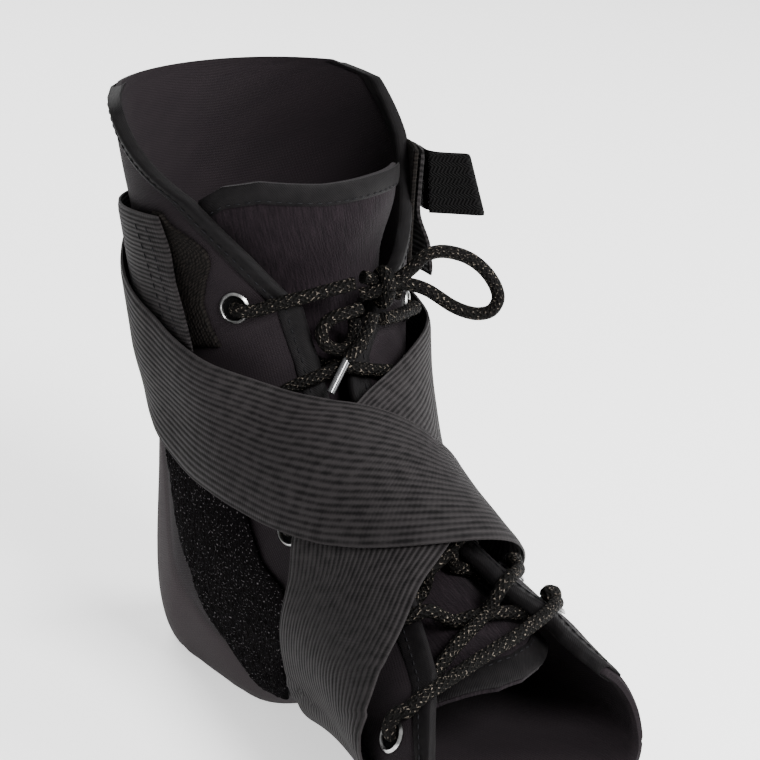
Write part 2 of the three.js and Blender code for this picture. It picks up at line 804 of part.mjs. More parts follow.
// The knot is turns of the lace pulled tight: one wrap round two strands that cross inside it
function knotGeometry() {
  const turns = 9;
  const wrap = Array.from({ length: turns + 1 }, (_, i) => {
    const turn = (2 * Math.PI * i) / turns;
    return fromKnot([0.9 * Math.cos(turn), 4.3 * Math.sin(turn), 3 * Math.cos(turn)]);
  });
  const strands = [
    [[-6.5, -2.2, 0], [-2, -0.8, 1.2], [2, 1.6, 1.2], [6, 3.4, 0.4]],
    [[-6.2, 3, 0.2], [-2, 1.6, -1], [2, -1, -1], [5.6, -2, -0.4]],
  ].map((strand) => alongCurve(strand.map(fromKnot), 5));
  const solids = [wrap, ...strands].map((points) => toSolid(tubeGeometry(points, 1.05 * LACE_RADIUS, 6)));
  return fromSolid(solids.reduce((whole, solid) => whole.add(solid)));
}

// The bow's long loop stands out to the side, its short loop hangs on the flap, and one end hangs below it.
// Rows are millimetres from the knot: to the side, up and out.
const LONG_LOOP = [
  [7.8, 6.2, 1.6],
  [10.6, 9.4, 2],
  [14, 10.8, 2.1],
  [17.5, 10.9, 2.2],
  [23.5, 9.3, 2.3],
  [28.9, 5.6, 2.2],
  [32.7, 0.6, 2],
  [33.6, -2.9, 1.9],
  [31.9, -6.1, 1.7],
  [28.5, -7.1, 1.4],
  [24.7, -6.6, 1.1],
  [20.5, -5, 0.8],
  [16.8, -2.8, 0.5],
  [13.2, -0.7, 0.3],
  [9.8, 0.5, 0],
];
const SHORT_LOOP = table("station angle lift", [
  [3.07, 8, 4.6],
  [3.1, 4, 4.6],
  [3.14, -2, 4],
  [3.24, -6, 3.2],
  [3.43, -8, 2.8],
  [3.65, -6, 2.6],
  [3.77, 0, 2.6],
  [3.7, 4, 2.2],
  [3.48, 8, 1.2],
  [3.3, 9, 0],
]);
const LACE_TAIL = table("station angle lift", [
  [3.14, 11, 7.2],
  [3.27, 10, 7.2],
  [3.54, 7.5, 6.8],
  [3.77, 4, 6.4],
  [3.98, 0, 5.4],
]);
const AGLET_TIP = { station: 4.61, angle: -8, lift: 4.3 };

function aglet() {
  const from = placed(LACE_TAIL[LACE_TAIL.length - 1]);
  const along = placed(AGLET_TIP).sub(from).normalize();
  const start = from.addScaledVector(along, 2 * PIECE_GAP);
  return [start, start.clone().addScaledVector(along, AGLET_LENGTH)];
}

// Hook tabs under the straps' ends, which grip the pile
function hookTabGeometry(side, top, bottom, front, back) {
  const face = (lift) =>
    stationRows(top, bottom, 4).map((station) =>
      Array.from({ length: 4 }, (_, j) => onSkin(station, side * lerp(front, back, j / 3), lift)),
    );
  return wallGeometry(face(PIECE_GAP + PATCH_WALL), face(PIECE_GAP));
}

// The pull tab: a loop of tape folded double, sewn on the diagonal strap's end and standing out from it
const TAB_ROOT = { angle: 70, station: 1.92 };
const TAB_SEWN = 9;
const TAB_FOLD = 1.5;
const TAB_SHEAR = 0.16;

function tabGeometry() {
  const middle = TAB_ROOT.station;
  const degree = 1 / millimetresPerDegree(middle, TAB_ROOT.angle);
  const strapFace = diagonalLift(middle, TAB_ROOT.angle) + STRAP_WALL + STRAP_GAP + TAB_WALL;
  const leaf = TAB_FOLD / 2;
  const profile = [
    [TAB_SEWN, 0],
    [TAB_SEWN / 2, 0],
    [leaf + 2, 0.6],
    [leaf + 0.4, 3],
    [leaf, 7],
    [leaf + 0.1, TAB_REACH - 3],
    [leaf, TAB_REACH - leaf],
    [0, TAB_REACH],
    [-leaf, TAB_REACH - leaf],
    [-leaf - 0.1, TAB_REACH - 3],
    [-leaf, 7],
    [-leaf, 2],
    [-leaf, 0.4],
  ];
  const line = profile.map(([back, out]) => {
    const root = onSkin(middle, TAB_ROOT.angle + back * degree, strapFace);
    return { root, tip: onSkin(middle, TAB_ROOT.angle + back * degree, strapFace + out).sub(root) };
  });
  const up = new THREE.Vector3(0, 0, 1);
  const middleLine = line.map(({ root, tip }) => root.clone().add(tip));
  const last = line.length - 1;
  const face = (side) =>
    line.map(({ root, tip }, i) => {
      const ahead = middleLine[Math.min(i + 1, last)].clone().sub(middleLine[Math.max(i - 1, 0)]);
      const outwards = ahead.cross(up).normalize().multiplyScalar((side * TAB_WALL) / 2);
      return [1, -1].map((end) => {
        const reach = tip.clone().multiplyScalar(1 - end * TAB_SHEAR);
        return root.clone().add(reach).add(outwards).addScaledVector(up, (end * TAB_WIDTH) / 2);
      });
    });
  return wallGeometry(face(1), face(-1));
}

addPiece("shell", shellGeometry(), NEOPRENE);
addPiece("inner_binding", bindingGeometry(innerEdge, -1, LAST_SECTION), TAPE);
addPiece("outer_binding", bindingGeometry(outerEdge, 1, OUTER_EDGE[OUTER_EDGE.length - 1].station), TAPE);
addPiece("tongue", tongueGeometry(), NAPPED);
addPiece("tongue_top_hem", hemGeometry(tongueTop, 1, HEM_WIDTH), TAPE);
addPiece("tongue_toe_hem", hemGeometry(tongueToe, -1, TOE_HEM_WIDTH), TAPE);
addPiece("inner_loop_patch", patchGeometry(-1), LOOP_PILE);
addPiece("outer_loop_patch", patchGeometry(1), LOOP_PILE);
const upright = strapFaces(UPRIGHT_STRAP, STRAP_STEPS, baseLift);
addPiece("upright_strap", wallGeometry(upright.outer, upright.inner), WEBBING);
const diagonal = strapFaces(DIAGONAL_STRAP, STRAP_STEPS, diagonalLift);
addPiece("diagonal_strap", wallGeometry(diagonal.outer, diagonal.inner), WEBBING);
eyeletPlaces().forEach(({ side, number, station, angle }) => {
  addPiece(`${side}_eyelet_${number}`, eyeletGeometry(station, angle), METAL);
});
addPiece("inner_hook_tab", hookTabGeometry(-1, 1.92, 3.55, 49, 74), HOOK);
addPiece("outer_hook_tab", hookTabGeometry(1, 1.5, 3, 64, 84), HOOK);
addPiece("pull_tab", tabGeometry(), TAPE);
addPiece("lace", tubeGeometry(lacePoints(), LACE_RADIUS, 5), CORD);
addPiece("bow_knot", knotGeometry(), CORD);
addPiece("bow_long_loop", tubeGeometry(alongCurve(LONG_LOOP.map(fromKnot), 22), LACE_RADIUS, 6), CORD);
addPiece("bow_short_loop", tubeGeometry(alongCurve(SHORT_LOOP.map(placed), 14), LACE_RADIUS, 6), CORD);
addPiece("lace_tail", tubeGeometry(alongCurve(LACE_TAIL.map(placed), 6), LACE_RADIUS, 6), CORD);
addPiece("aglet", tubeGeometry(aglet(), AGLET_DIAMETER / 2, 8), CLEAR);

export default brace;
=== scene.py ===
import math
import bmesh
import bpy
import numpy as np
from mathutils import Matrix, Vector


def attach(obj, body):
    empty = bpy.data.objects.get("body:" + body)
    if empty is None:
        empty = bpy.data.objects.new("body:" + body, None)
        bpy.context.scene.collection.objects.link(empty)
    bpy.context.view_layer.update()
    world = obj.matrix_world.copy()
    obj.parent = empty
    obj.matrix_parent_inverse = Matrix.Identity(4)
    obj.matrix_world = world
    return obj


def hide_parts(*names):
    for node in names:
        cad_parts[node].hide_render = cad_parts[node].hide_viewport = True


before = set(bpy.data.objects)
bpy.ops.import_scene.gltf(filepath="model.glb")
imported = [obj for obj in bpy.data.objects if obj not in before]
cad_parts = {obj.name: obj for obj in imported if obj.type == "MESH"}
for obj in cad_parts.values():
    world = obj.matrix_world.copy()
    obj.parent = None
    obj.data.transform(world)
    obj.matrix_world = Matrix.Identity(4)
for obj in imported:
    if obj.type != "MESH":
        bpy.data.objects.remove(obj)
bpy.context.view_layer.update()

# The photograph's viewpoint: low and from the toes' inner side, through a long lens.
# The brace stands on its sole on a plain pale floor, under soft studio light.
EYE = Vector((-0.2954, -0.6508, 0.3332))
LOOKS_AT = Vector((0.02654, -0.01893, 0.089))
camera_data = bpy.data.cameras.new("camera")
camera_data.lens = 120.08
camera_data.sensor_width = 36
camera_data.clip_start = 0.02
camera = bpy.data.objects.new("camera", camera_data)
camera.location = EYE
camera.rotation_euler = (LOOKS_AT - EYE).to_track_quat("-Z", "Y").to_euler()
bpy.context.collection.objects.link(camera)
bpy.context.scene.camera = camera


def soft_light(name, place, size, power):
    data = bpy.data.lights.new(name, "AREA")
    data.shape = "DISK"
    data.size = size
    data.energy = power
    light = bpy.data.objects.new(name, data)
    light.location = place
    light.rotation_euler = (Vector((0, -0.03, 0.08)) - Vector(place)).to_track_quat("-Z", "Y").to_euler()
    bpy.context.collection.objects.link(light)


soft_light("key_light", (0.2, -1.3, 1.0), 0.6, 50)
soft_light("side_light", (1.0, -0.5, 0.8), 0.8, 24)
soft_light("back_light", (0.1, 1.1, 1.0), 0.9, 14)
world = bpy.data.worlds.new("studio")
world.use_nodes = True
world.node_tree.nodes["Background"].inputs["Color"].default_value = (1, 1, 1, 1)
world.node_tree.nodes["Background"].inputs["Strength"].default_value = 0.5
bpy.context.scene.world = world

floor_mesh = bpy.data.meshes.new("floor")
floor_form = bmesh.new()
bmesh.ops.create_grid(floor_form, x_segments=4, y_segments=4, size=6)
bmesh.ops.translate(floor_form, vec=(0, 0, -0.0004), verts=floor_form.verts[:])
floor_form.to_mesh(floor_mesh)
floor_form.free()
floor = bpy.data.objects.new("floor", floor_mesh)
bpy.context.collection.objects.link(floor)
floor_finish = bpy.data.materials.new("floor_finish")
floor_finish.use_nodes = True
floor_finish.node_tree.nodes["Principled BSDF"].inputs["Base Color"].default_value = (0.93, 0.93, 0.93, 1)
floor_finish.node_tree.nodes["Principled BSDF"].inputs["Roughness"].default_value = 0.9
floor_finish.node_tree.nodes["Principled BSDF"].inputs["Emission Color"].default_value = (1, 1, 1, 1)
floor_finish.node_tree.nodes["Principled BSDF"].inputs["Emission Strength"].default_value = 1.0
floor_mesh.materials.append(floor_finish)

# The shell: one wall of foam rubber faced with fine knit, cut as a boot with an open front and toe.
# Its back quarter is a smoother, lighter heel panel, sewn on along a seam. All the other cloth is
# fixed to it or laid over it, so the foot's form that they share is made here.
SHELL_WALL = 3
# A station counts the sections below, from the cuff's rim down the leg, round the heel and along the
# foot. Angles are degrees from the front, positive on the outer side. Lengths are millimetres, and
# points are metres.
LEG_FRONT = 42
HEEL_REACH = 44
HALF_WIDTH = 42
INSTEP_REACH = 110
SOLE_REACH = 152
INSTEP_HEIGHT = 95
CUFF_RISE = 108
MM = 0.001
# Columns: leg, instep, front low, front high, heel, sole, back low, back high, shift, width, belly, square
SECTIONS = np.array([
    [1.05, 0, 1, 1, 1.2, 0, 1, 1, 0, 1.18, 0.5, 2],
    [1, 0, 1, 0.7, 1.02, 0, 1, 0.7, 0, 1.06, 0.5, 2],
    [1, 0, 1, 0.47, 0.93, 0, 1, 0.454, 0, 0.976, 0.5, 2],
    [1, 0.01, 1, 0.26, 0.84, 0, 1, 0.194, 0, 0.917, 0.5, 1.9],
    [1, 0.036, 1, 0.11, 0.77, 0, 0.905, 0, 0, 0.88, 0.5, 1.8],
    [1, 0.11, 1, 0, 0.91, 0, 0.526, 0, -0.008, 0.85, 0.52, 1.9],
    [1, 0.22, 0.905, 0, 0.912, 0, 0.02, 0, -0.01, 0.815, 0.5, 2.55],
    [1, 0.345, 0.82, 0, 0.56, 0, -0.12, 0, 0.05, 0.772, 0.46, 3],
    [1, 0.47, 0.747, 0, 0, 0.14, -0.08, 0, 0.105, 0.75, 0.42, 2.9],
    [1, 0.6, 0.674, 0, 0, 0.368, 0.07, 0, 0.155, 0.8, 0.4, 2.78],
    [1, 0.736, 0.61, 0, 0, 0.63, 0.155, 0, 0.17, 0.85, 0.383, 2.6],
    [1, 0.873, 0.547, 0, 0, 0.895, 0.115, 0, 0.15, 0.888, 0.385, 2.45],
    [1, 1, 0.495, 0, 0, 1.05, 0, 0, 0.135, 0.924, 0.36, 2.37],
])
LAST_SECTION = len(SECTIONS) - 1


def ease(low, high, value):
    t = np.clip((value - low) / (high - low), 0, 1)
    return t * t * (3 - 2 * t)


def through_rows(rows, place):
    last = len(rows) - 1
    place = np.clip(place, 0, last)
    i = np.minimum(place.astype(int), last - 1)
    t = (place - i)[..., None]
    before, here, there, after = [rows[np.clip(i + k, 0, last)] for k in (-1, 0, 1, 2)]
    leave = (there - before) / 2
    arrive = (after - here) / 2
    kept = (2 * t**3 - 3 * t**2 + 1) * here + (3 * t**2 - 2 * t**3) * there
    return kept + (t**3 - 2 * t**2 + t) * leave + (t**3 - t**2) * arrive


def skin(station, angle):
    station, angle = np.broadcast_arrays(np.asarray(station, float), np.asarray(angle, float))
    row = np.moveaxis(through_rows(SECTIONS, station), -1, 0)
    leg, instep, front_low, front_high, heel, sole, back_low, back_high, shift, width, belly, square = row
    front_y = -LEG_FRONT * leg - INSTEP_REACH * instep
    front_z = INSTEP_HEIGHT * front_low + CUFF_RISE * front_high
    back_y = HEEL_REACH * heel - SOLE_REACH * sole
    back_z = INSTEP_HEIGHT * back_low + CUFF_RISE * back_high
    c = np.cos(np.radians(angle))
    s = np.sin(np.radians(angle))
    power = 2 + (square - 2) * ease(0, 1, (1 - c) / 2)
    reach = (np.abs(c) ** power + np.abs(s) ** power) ** (-1 / power)
    fore = belly + np.where(c > 0, 1 - belly, belly) * c * reach
    x = HALF_WIDTH * (shift + width * s * reach)
    y = back_y + (front_y - back_y) * fore
    z = back_z + (front_z - back_z) * fore
    return np.stack([x, y, z], -1) * MM


def unit(vectors):
    return vectors / np.maximum(np.linalg.norm(vectors, axis=-1, keepdims=True), 1e-12)


def skin_normal(station, angle):
    station = np.asarray(station, float)
    low = np.maximum(station - 0.02, 0)
    high = np.minimum(station + 0.02, LAST_SECTION)
    along = skin(high, angle) - skin(low, angle)
    around = skin(station, np.asarray(angle) + 0.4) - skin(station, np.asarray(angle) - 0.4)
    return unit(np.cross(along, around))


def on_skin(station, angle, lift, lowest=None):
    point = skin(station, angle) + skin_normal(station, angle) * (np.asarray(lift, float) * MM)[..., None]
    if lowest is not None:
        point[..., 2] = np.maximum(point[..., 2], lowest * MM)
    return point


def skin_steps(station, angle):
    along = (skin(station + 0.05, angle) - skin(station - 0.05, angle)) / 0.1
    around = (skin(station, angle + 1) - skin(station, angle - 1)) / 2
    return along, around


def degree_mm(station, angle):
    return np.linalg.norm(skin_steps(np.asarray(station, float), np.asarray(angle, float))[1], axis=-1) / MM


def move_on_skin(station, angle, direction, distance, steps=3):
    for _ in range(steps):
        along, around = skin_steps(station, angle)
        aa = (along * along).sum(-1)
        rr = (around * around).sum(-1)
        ar = (along * around).sum(-1)
        da = (direction * along).sum(-1)
        dr = (direction * around).sum(-1)
        flat = aa * rr - ar * ar
        d_station = (da * rr - dr * ar) / flat
        d_angle = (dr * aa - da * ar) / flat
        length = np.linalg.norm(along * d_station[..., None] + around * d_angle[..., None], axis=-1) / MM
        length = np.maximum(length, 1e-9)
        station = np.clip(station + d_station / length * distance / steps, 0.02, LAST_SECTION)
        angle = angle + d_angle / length * distance / steps
    return station, angle


# Every cloth piece is a sheet laid over that form: a grid whose outer face and inner face are
# placed point by point, with its rim drawn in a little, as a cut or folded edge is. Its UV is in
# millimetres of the cloth, so that weave and ribs have their real pitch.
def cloth_sizes(points):
    across = np.linalg.norm(np.diff(points, axis=1), axis=-1) / MM
    down = np.linalg.norm(np.diff(points, axis=0), axis=-1) / MM
    u = np.concatenate([np.zeros((points.shape[0], 1)), np.cumsum(across, axis=1)], axis=1)
    v = np.concatenate([np.zeros((1, points.shape[1])), np.cumsum(down, axis=0)], axis=0)
    return np.stack([u, v], -1)


def finished_object(name, form, material, sharp=50):
    mesh = bpy.data.meshes.new(name)
    bmesh.ops.recalc_face_normals(form, faces=form.faces[:])
    for face in form.faces:
        face.smooth = True
    form.to_mesh(mesh)
    form.free()
    mesh.set_sharp_from_angle(angle=math.radians(sharp))
    mesh.materials.append(material)
    piece = bpy.data.objects.new(name, mesh)
    bpy.context.collection.objects.link(piece)
    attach(piece, "root")
    return piece


def laid_cloth(name, outer, inner, material, cloth=None, rim=0.5, marks=None):
    cloth = cloth_sizes(outer) if cloth is None else cloth
    rows = outer.shape[0] - 1
    columns = outer.shape[1] - 1
    middle = (outer + inner) / 2
    outer = outer.copy()
    inner = inner.copy()
    for edge in ((0, slice(None)), (-1, slice(None)), (slice(None), 0), (slice(None), -1)):
        outer[edge] = middle[edge] + (outer[edge] - middle[edge]) * rim
        inner[edge] = middle[edge] + (inner[edge] - middle[edge]) * rim
    form = bmesh.new()
    bmesh.ops.create_grid(form, x_segments=columns, y_segments=rows, size=0.5)
    assert len(form.verts) == (rows + 1) * (columns + 1)
    spot = form.verts.layers.int.new("spot")
    mark = form.verts.layers.float.new("mark")
    for vert in form.verts:
        i = round((vert.co.y + 0.5) * rows)
        j = round((vert.co.x + 0.5) * columns)
        vert[spot] = i * (columns + 1) + j
        if marks is not None:
            vert[mark] = marks[i, j]
    made = bmesh.ops.extrude_face_region(form, geom=form.faces[:])
    under = {item for item in made["geom"] if isinstance(item, bmesh.types.BMVert)}
    for vert in form.verts:
        i, j = divmod(vert[spot], columns + 1)
        vert.co = inner[i, j] if vert in under else outer[i, j]
    lay = form.loops.layers.uv.new("cloth")
    for face in form.faces:
        for loop in face.loops:
            i, j = divmod(loop.vert[spot], columns + 1)
            loop[lay].uv = cloth[i, j]
    return finished_object(name, form, material)


# Materials are node graphs with one shader each. Their patterns read the cloth's own millimetres,
# and their fixed values sit on the shader's sockets.
def new_finish(name, colour, roughness, sheen=0.0, metallic=0.0, gloss=0.06):
    material = bpy.data.materials.new(name)
    material.use_nodes = True
    shader = material.node_tree.nodes["Principled BSDF"]
    shader.inputs["Base Color"].default_value = (*colour, 1)
    shader.inputs["Roughness"].default_value = roughness
    shader.inputs["Metallic"].default_value = metallic
    shader.inputs["Specular IOR Level"].default_value = 0.5 if metallic else gloss
    if sheen:
        shader.inputs["Sheen Weight"].default_value = sheen / 16
        shader.inputs["Sheen Roughness"].default_value = 0.5
    return material


def add_node(material, kind, values=None, **settings):
    node = material.node_tree.nodes.new(kind)
    for key, value in settings.items():
        setattr(node, key, value)
    for key, value in (values or {}).items():
        node.inputs[key].default_value = value
    return node


def join(material, source, target):
    material.node_tree.links.new(source, target)


def cloth_map(material, scale=(1, 1, 1), turn=0.0):
    read = add_node(material, "ShaderNodeUVMap", uv_map="cloth")
    mapping = add_node(material, "ShaderNodeMapping")
    mapping.inputs["Scale"].default_value = scale
    mapping.inputs["Rotation"].default_value = (0, 0, math.radians(turn))
    join(material, read.outputs["UV"], mapping.inputs["Vector"])
    return mapping.outputs["Vector"]


def bump(material, height, depth_mm, strength=1.0):
    node = add_node(material, "ShaderNodeBump", {"Strength": strength, "Distance": depth_mm * MM})
    join(material, height, node.inputs["Height"])
    shader = material.node_tree.nodes["Principled BSDF"]
    join(material, node.outputs["Normal"], shader.inputs["Normal"])


def two_tone(material, factor, low, high, dark, light):
    ramp = add_node(material, "ShaderNodeValToRGB")
    ramp.color_ramp.elements[0].position = low
    ramp.color_ramp.elements[0].color = (*dark, 1)
    ramp.color_ramp.elements[1].position = high
    ramp.color_ramp.elements[1].color = (*light, 1)
    join(material, factor, ramp.inputs["Fac"])
    join(material, ramp.outputs["Color"], material.node_tree.nodes["Principled BSDF"].inputs["Base Color"])


def noise(material, where, scale, detail=3.0):
    node = add_node(material, "ShaderNodeTexNoise", {"Scale": scale, "Detail": detail})
    join(material, where, node.inputs["Vector"])
    return node.outputs["Fac"]


def waves(material, where, pitch_mm, direction="X", profile="SIN", distortion=0.0):
    settings = {"wave_type": "BANDS", "bands_direction": direction, "wave_profile": profile}
    values = {"Scale": math.pi / 10 / pitch_mm, "Distortion": distortion, "Detail": 1.0}
    node = add_node(material, "ShaderNodeTexWave", values, **settings)
    join(material, where, node.inputs["Vector"])
    return node.outputs["Fac"]


def mix_math(material, operation, a, b):
    node = add_node(material, "ShaderNodeMath", operation=operation)
    for socket, value in zip(node.inputs, (a, b)):
        if isinstance(value, (int, float)):
            socket.default_value = value
        else:
            join(material, value, socket)
    return node.outputs["Value"]


# The edges of the two flaps and of the toe opening, as stations and angles.
SHELL_START = 0.85
SHELL_STEPS = 150
INNER_EDGE = np.array([
    [0.85, -128], [0.95, -106], [1.45, -77], [1.75, -57], [2.35, -35], [3, -15], [3.9, -10], [4.5, -9],
    [6.5, -11], [8.47, -22], [9.53, -30], [10.54, -36], [10.92, -42], [11.4, -51], [12, -64],
])
OUTER_EDGE = np.array([
    [0.85, 128], [0.95, 106], [1.45, 84], [1.95, 70], [2.35, 58], [2.6, 46], [2.85, 32], [3.1, 24],
    [3.38, 17], [3.67, 11], [3.98, 6], [4.6, 4], [6.5, 5], [8.66, 16], [9.1, 17], [9.48, 22],
    [9.82, 29], [10.42, 32], [10.75, 38], [11, 47],
])
TOE_END = np.array([
    [-300, 11], [-270, 11.15], [-225, 11.3], [-180, 11.45], [-135, 11.6], [-90, 11.8], [-60, 12],
])
LAST_STRAIGHT = 8


def inner_edge(station):
    return np.interp(station, INNER_EDGE[:, 0], INNER_EDGE[:, 1])


def outer_edge(station):
    return np.interp(station, OUTER_EDGE[:, 0], OUTER_EDGE[:, 1])


def leaning_station(row, angle):
    share = np.clip((row - LAST_STRAIGHT) / (LAST_SECTION - LAST_STRAIGHT), 0, None)
    toe = np.interp(angle, TOE_END[:, 0], TOE_END[:, 1])
    return np.where(row <= LAST_STRAIGHT, row, LAST_STRAIGHT + (toe - LAST_STRAIGHT) * share)


NEOPRENE = new_finish("neoprene", (0.01149, 0.00871, 0.00994), 0.75, sheen=0.25)
knit = cloth_map(NEOPRENE)
knit_rows = waves(NEOPRENE, knit, 0.8, "Y", distortion=0.6)
knit_bumps = mix_math(NEOPRENE, "MULTIPLY", waves(NEOPRENE, knit, 0.8, "X", distortion=0.6), knit_rows)
knit_fuzz = mix_math(NEOPRENE, "ADD", knit_bumps, noise(NEOPRENE, knit, 1.6))
bump(NEOPRENE, knit_fuzz, 0.14, 0.7)
panel = add_node(NEOPRENE, "ShaderNodeAttribute", attribute_name="mark")
cloud = mix_math(NEOPRENE, "MULTIPLY", noise(NEOPRENE, knit, 0.09, 5), 0.35)
tone = mix_math(NEOPRENE, "ADD", panel.outputs["Fac"], cloud)
two_tone(NEOPRENE, tone, 0.05, 1.1, (0.0075, 0.00568, 0.0069), (0.01953, 0.01479, 0.01636))

shell_rows = np.linspace(SHELL_START, LAST_SECTION, SHELL_STEPS)[:, None]
inner_side = inner_edge(shell_rows)
outer_side = outer_edge(leaning_station(shell_rows, np.full_like(shell_rows, TOE_END[0, 0]))) - 360
shell_angles = inner_side + (outer_side - inner_side) * np.linspace(0, 1, SHELL_STEPS)[None, :]
shell_stations = leaning_station(shell_rows, shell_angles)
wrinkle = np.sin(shell_angles * 0.11 + 2.2 * shell_stations)
wrinkle = wrinkle * np.sin(shell_stations * 3.1 + 0.05 * shell_angles)
wrinkle = 0.3 * wrinkle * ease(0.9, 2, shell_stations)
from_front = np.abs((shell_angles + 180) % 360 - 180)
panel_share = ease(99, 103, from_front)
panel_share = panel_share * ease(4.2, 4.5, shell_stations) * (1 - ease(8.6, 8.8, shell_stations))
panel_seam = np.exp(-(((from_front - 100) / 1.3) ** 2))
shell_lift = wrinkle - 0.25 - 0.5 * panel_seam * ease(4.2, 4.5, shell_stations)
shell = laid_cloth(
    "neoprene_shell",
    on_skin(shell_stations, shell_angles, shell_lift, 0),
    on_skin(shell_stations, shell_angles, np.full_like(shell_angles, -SHELL_WALL), SHELL_WALL),
    NEOPRENE,
    marks=panel_share,
)
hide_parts("shell")

# The bindings: a smooth tape folded over each flap's edge and sewn down with one line of stitches.
# They run from the back of the cuff along the lacing to the toe edge.
BINDING_WIDTH = 6.5
BINDING_SEAM = 4.1
BINDING_STEPS = 40
STITCH_LENGTH = 2.0
STITCH_PITCH = 2.9
STITCH_THICK = 0.42
TAPE = new_finish("tape", (0.00274, 0.00238, 0.00259), 0.55, sheen=0.2)
tape_map = cloth_map(TAPE)
twill = waves(TAPE, cloth_map(TAPE, turn=40), 0.55)
bump(TAPE, mix_math(TAPE, "ADD", twill, noise(TAPE, tape_map, 0.5)), 0.08, 0.6)
two_tone(
    TAPE, noise(TAPE, tape_map, 0.25), 0.3, 0.75, (0.00205, 0.00178, 0.00202), (0.00513, 0.00445, 0.00475))
THREAD = new_finish("thread", (0.008, 0.008, 0.009), 0.6)
twist = cloth_map(THREAD)
bump(THREAD, noise(THREAD, twist, 3), 0.05)


def stitches(name, points, normals):
    run = np.concatenate([[0], np.cumsum(np.linalg.norm(np.diff(points, axis=0), axis=-1))]) / MM
    middles = np.arange(STITCH_PITCH, run[-1] - STITCH_PITCH, STITCH_PITCH)
    thick = STITCH_THICK / 2 * MM
    form = bmesh.new()
    for place in middles:
        here = Vector([np.interp(place, run, points[:, k]) for k in range(3)])
        ahead = Vector([np.interp(place + 0.6, run, points[:, k]) for k in range(3)]) - here
        up = Vector([np.interp(place, run, normals[:, k]) for k in range(3)]).normalized()
        ahead.normalize()
        side = up.cross(ahead).normalized()
        up = ahead.cross(side)
        turn = Matrix((ahead, side, up)).transposed().to_4x4()
        size = Matrix.Diagonal((STITCH_LENGTH / 2 * MM, thick, thick, 1))
        lay = Matrix.Translation(here) @ turn @ size
        bmesh.ops.create_icosphere(form, subdivisions=1, radius=1, matrix=lay)
    form.loops.layers.uv.new("cloth")
    piece = finished_object(name, form, THREAD, sharp=180)
    return piece


def folded_binding(name, edge, side, last, node):
    stations = np.linspace(0.87, last, 260)[:, None]
    section = np.array([
        [BINDING_WIDTH, 0.05], [6.2, 0.35], [5, 0.5], [3.6, 0.36], [2.2, 0.55], [0.9, 0.6], [0, 0.4],
        [-0.7, -0.2], [-1.0, -1.3], [-0.8, -2.4], [-0.1, -3.2], [1, -3.45], [3, -3.4], [5, -3.4],
    ])
    around = np.linspace(0, len(section) - 1, BINDING_STEPS)
    across = np.interp(around, np.arange(len(section)), section[:, 0])[None, :]
    height = np.interp(around, np.arange(len(section)), section[:, 1])[None, :]
    angles = edge(stations) + side * across / degree_mm(stations, edge(stations))
    outer = on_skin(stations, angles, height + 0 * angles, 0.4)
    inward_mm = across + np.interp(around, [0, 5, 8, 10, 13], [0, 0.1, 0.7, 0.2, 0])[None, :]
    inward = edge(stations) + side * inward_mm / degree_mm(stations, edge(stations))
    inner_height = np.where(around < 7.5, height - 0.6, height + 0.3)
    inner = on_skin(stations, inward, inner_height + 0 * inward, 0.5)
    piece = laid_cloth(name, outer, inner, TAPE, rim=0.7)
    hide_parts(node)
    line = edge(stations[:, 0]) + side * BINDING_SEAM / degree_mm(stations[:, 0], edge(stations[:, 0]))
    seam = on_skin(stations[:, 0], line, np.full(len(line), 0.55), 0.6)
    stitches(name + "_stitches", seam, skin_normal(stations[:, 0], line))


folded_binding("inner_edge_tape", inner_edge, -1, LAST_SECTION - 0.03, "inner_binding")
folded_binding("outer_edge_tape", outer_edge, 1, OUTER_EDGE[-1, 0] - 0.03, "outer_binding")

# The tongue: a padded panel with a soft brushed nap, behind the lacing. Its top and toe edges are
# finished with smooth sewn hems.
LACE_DIAMETER = 3.8
LACE_RADIUS = LACE_DIAMETER / 2
PIECE_GAP = 0.35
STRAP_GAP = 0.65
LACE_ROOM = LACE_DIAMETER + 3.5 * PIECE_GAP
TONGUE_WALL = 2.4
TONGUE_HALF_ANGLE = 56
HEM_HALF_ANGLE = 54
HEM_STEPS = 14
TONGUE_TOP = np.array([[-56, 1.78], [-44, 1.58], [-28, 1.5], [0, 1.57], [28, 1.58], [56, 1.62]])
TONGUE_TOE = np.array([
    [-56, 10.5], [-38, 10.63], [-28, 10.73], [-7, 10.92], [8, 10.85], [24, 10.56], [40, 10.13], [56, 9.8],
])
NAP = new_finish("nap", (0.00532, 0.00357, 0.00463), 0.9, sheen=0.5)
nap_map = cloth_map(NAP, (1.4, 0.16, 1))
nap_lines = noise(NAP, nap_map, 1.1, 4)
bump(NAP, mix_math(NAP, "ADD", nap_lines, noise(NAP, cloth_map(NAP), 1.5)), 0.35, 0.8)
two_tone(NAP, nap_lines, 0.3, 0.75, (0.00288, 0.00188, 0.00263), (0.00998, 0.00677, 0.00865))


def tongue_lift(station):
    sink = ease(9.1, 9.9, station)
    room = PIECE_GAP + 1 + (LACE_ROOM - PIECE_GAP - 1) * ease(1.9, 2.7, station)
    return -SHELL_WALL - room - sink


def tongue_places(first, last, rows, columns):
    angles = np.linspace(-TONGUE_HALF_ANGLE, TONGUE_HALF_ANGLE, columns)[None, :] + np.zeros((rows, 1))
    top = first(angles)
    return top + (last(angles) - top) * np.linspace(0, 1, rows)[:, None], angles


def tongue_top(angle):
    return np.interp(angle, TONGUE_TOP[:, 0], TONGUE_TOP[:, 1])


def tongue_toe(angle):
    return np.interp(angle, TONGUE_TOE[:, 0], TONGUE_TOE[:, 1])


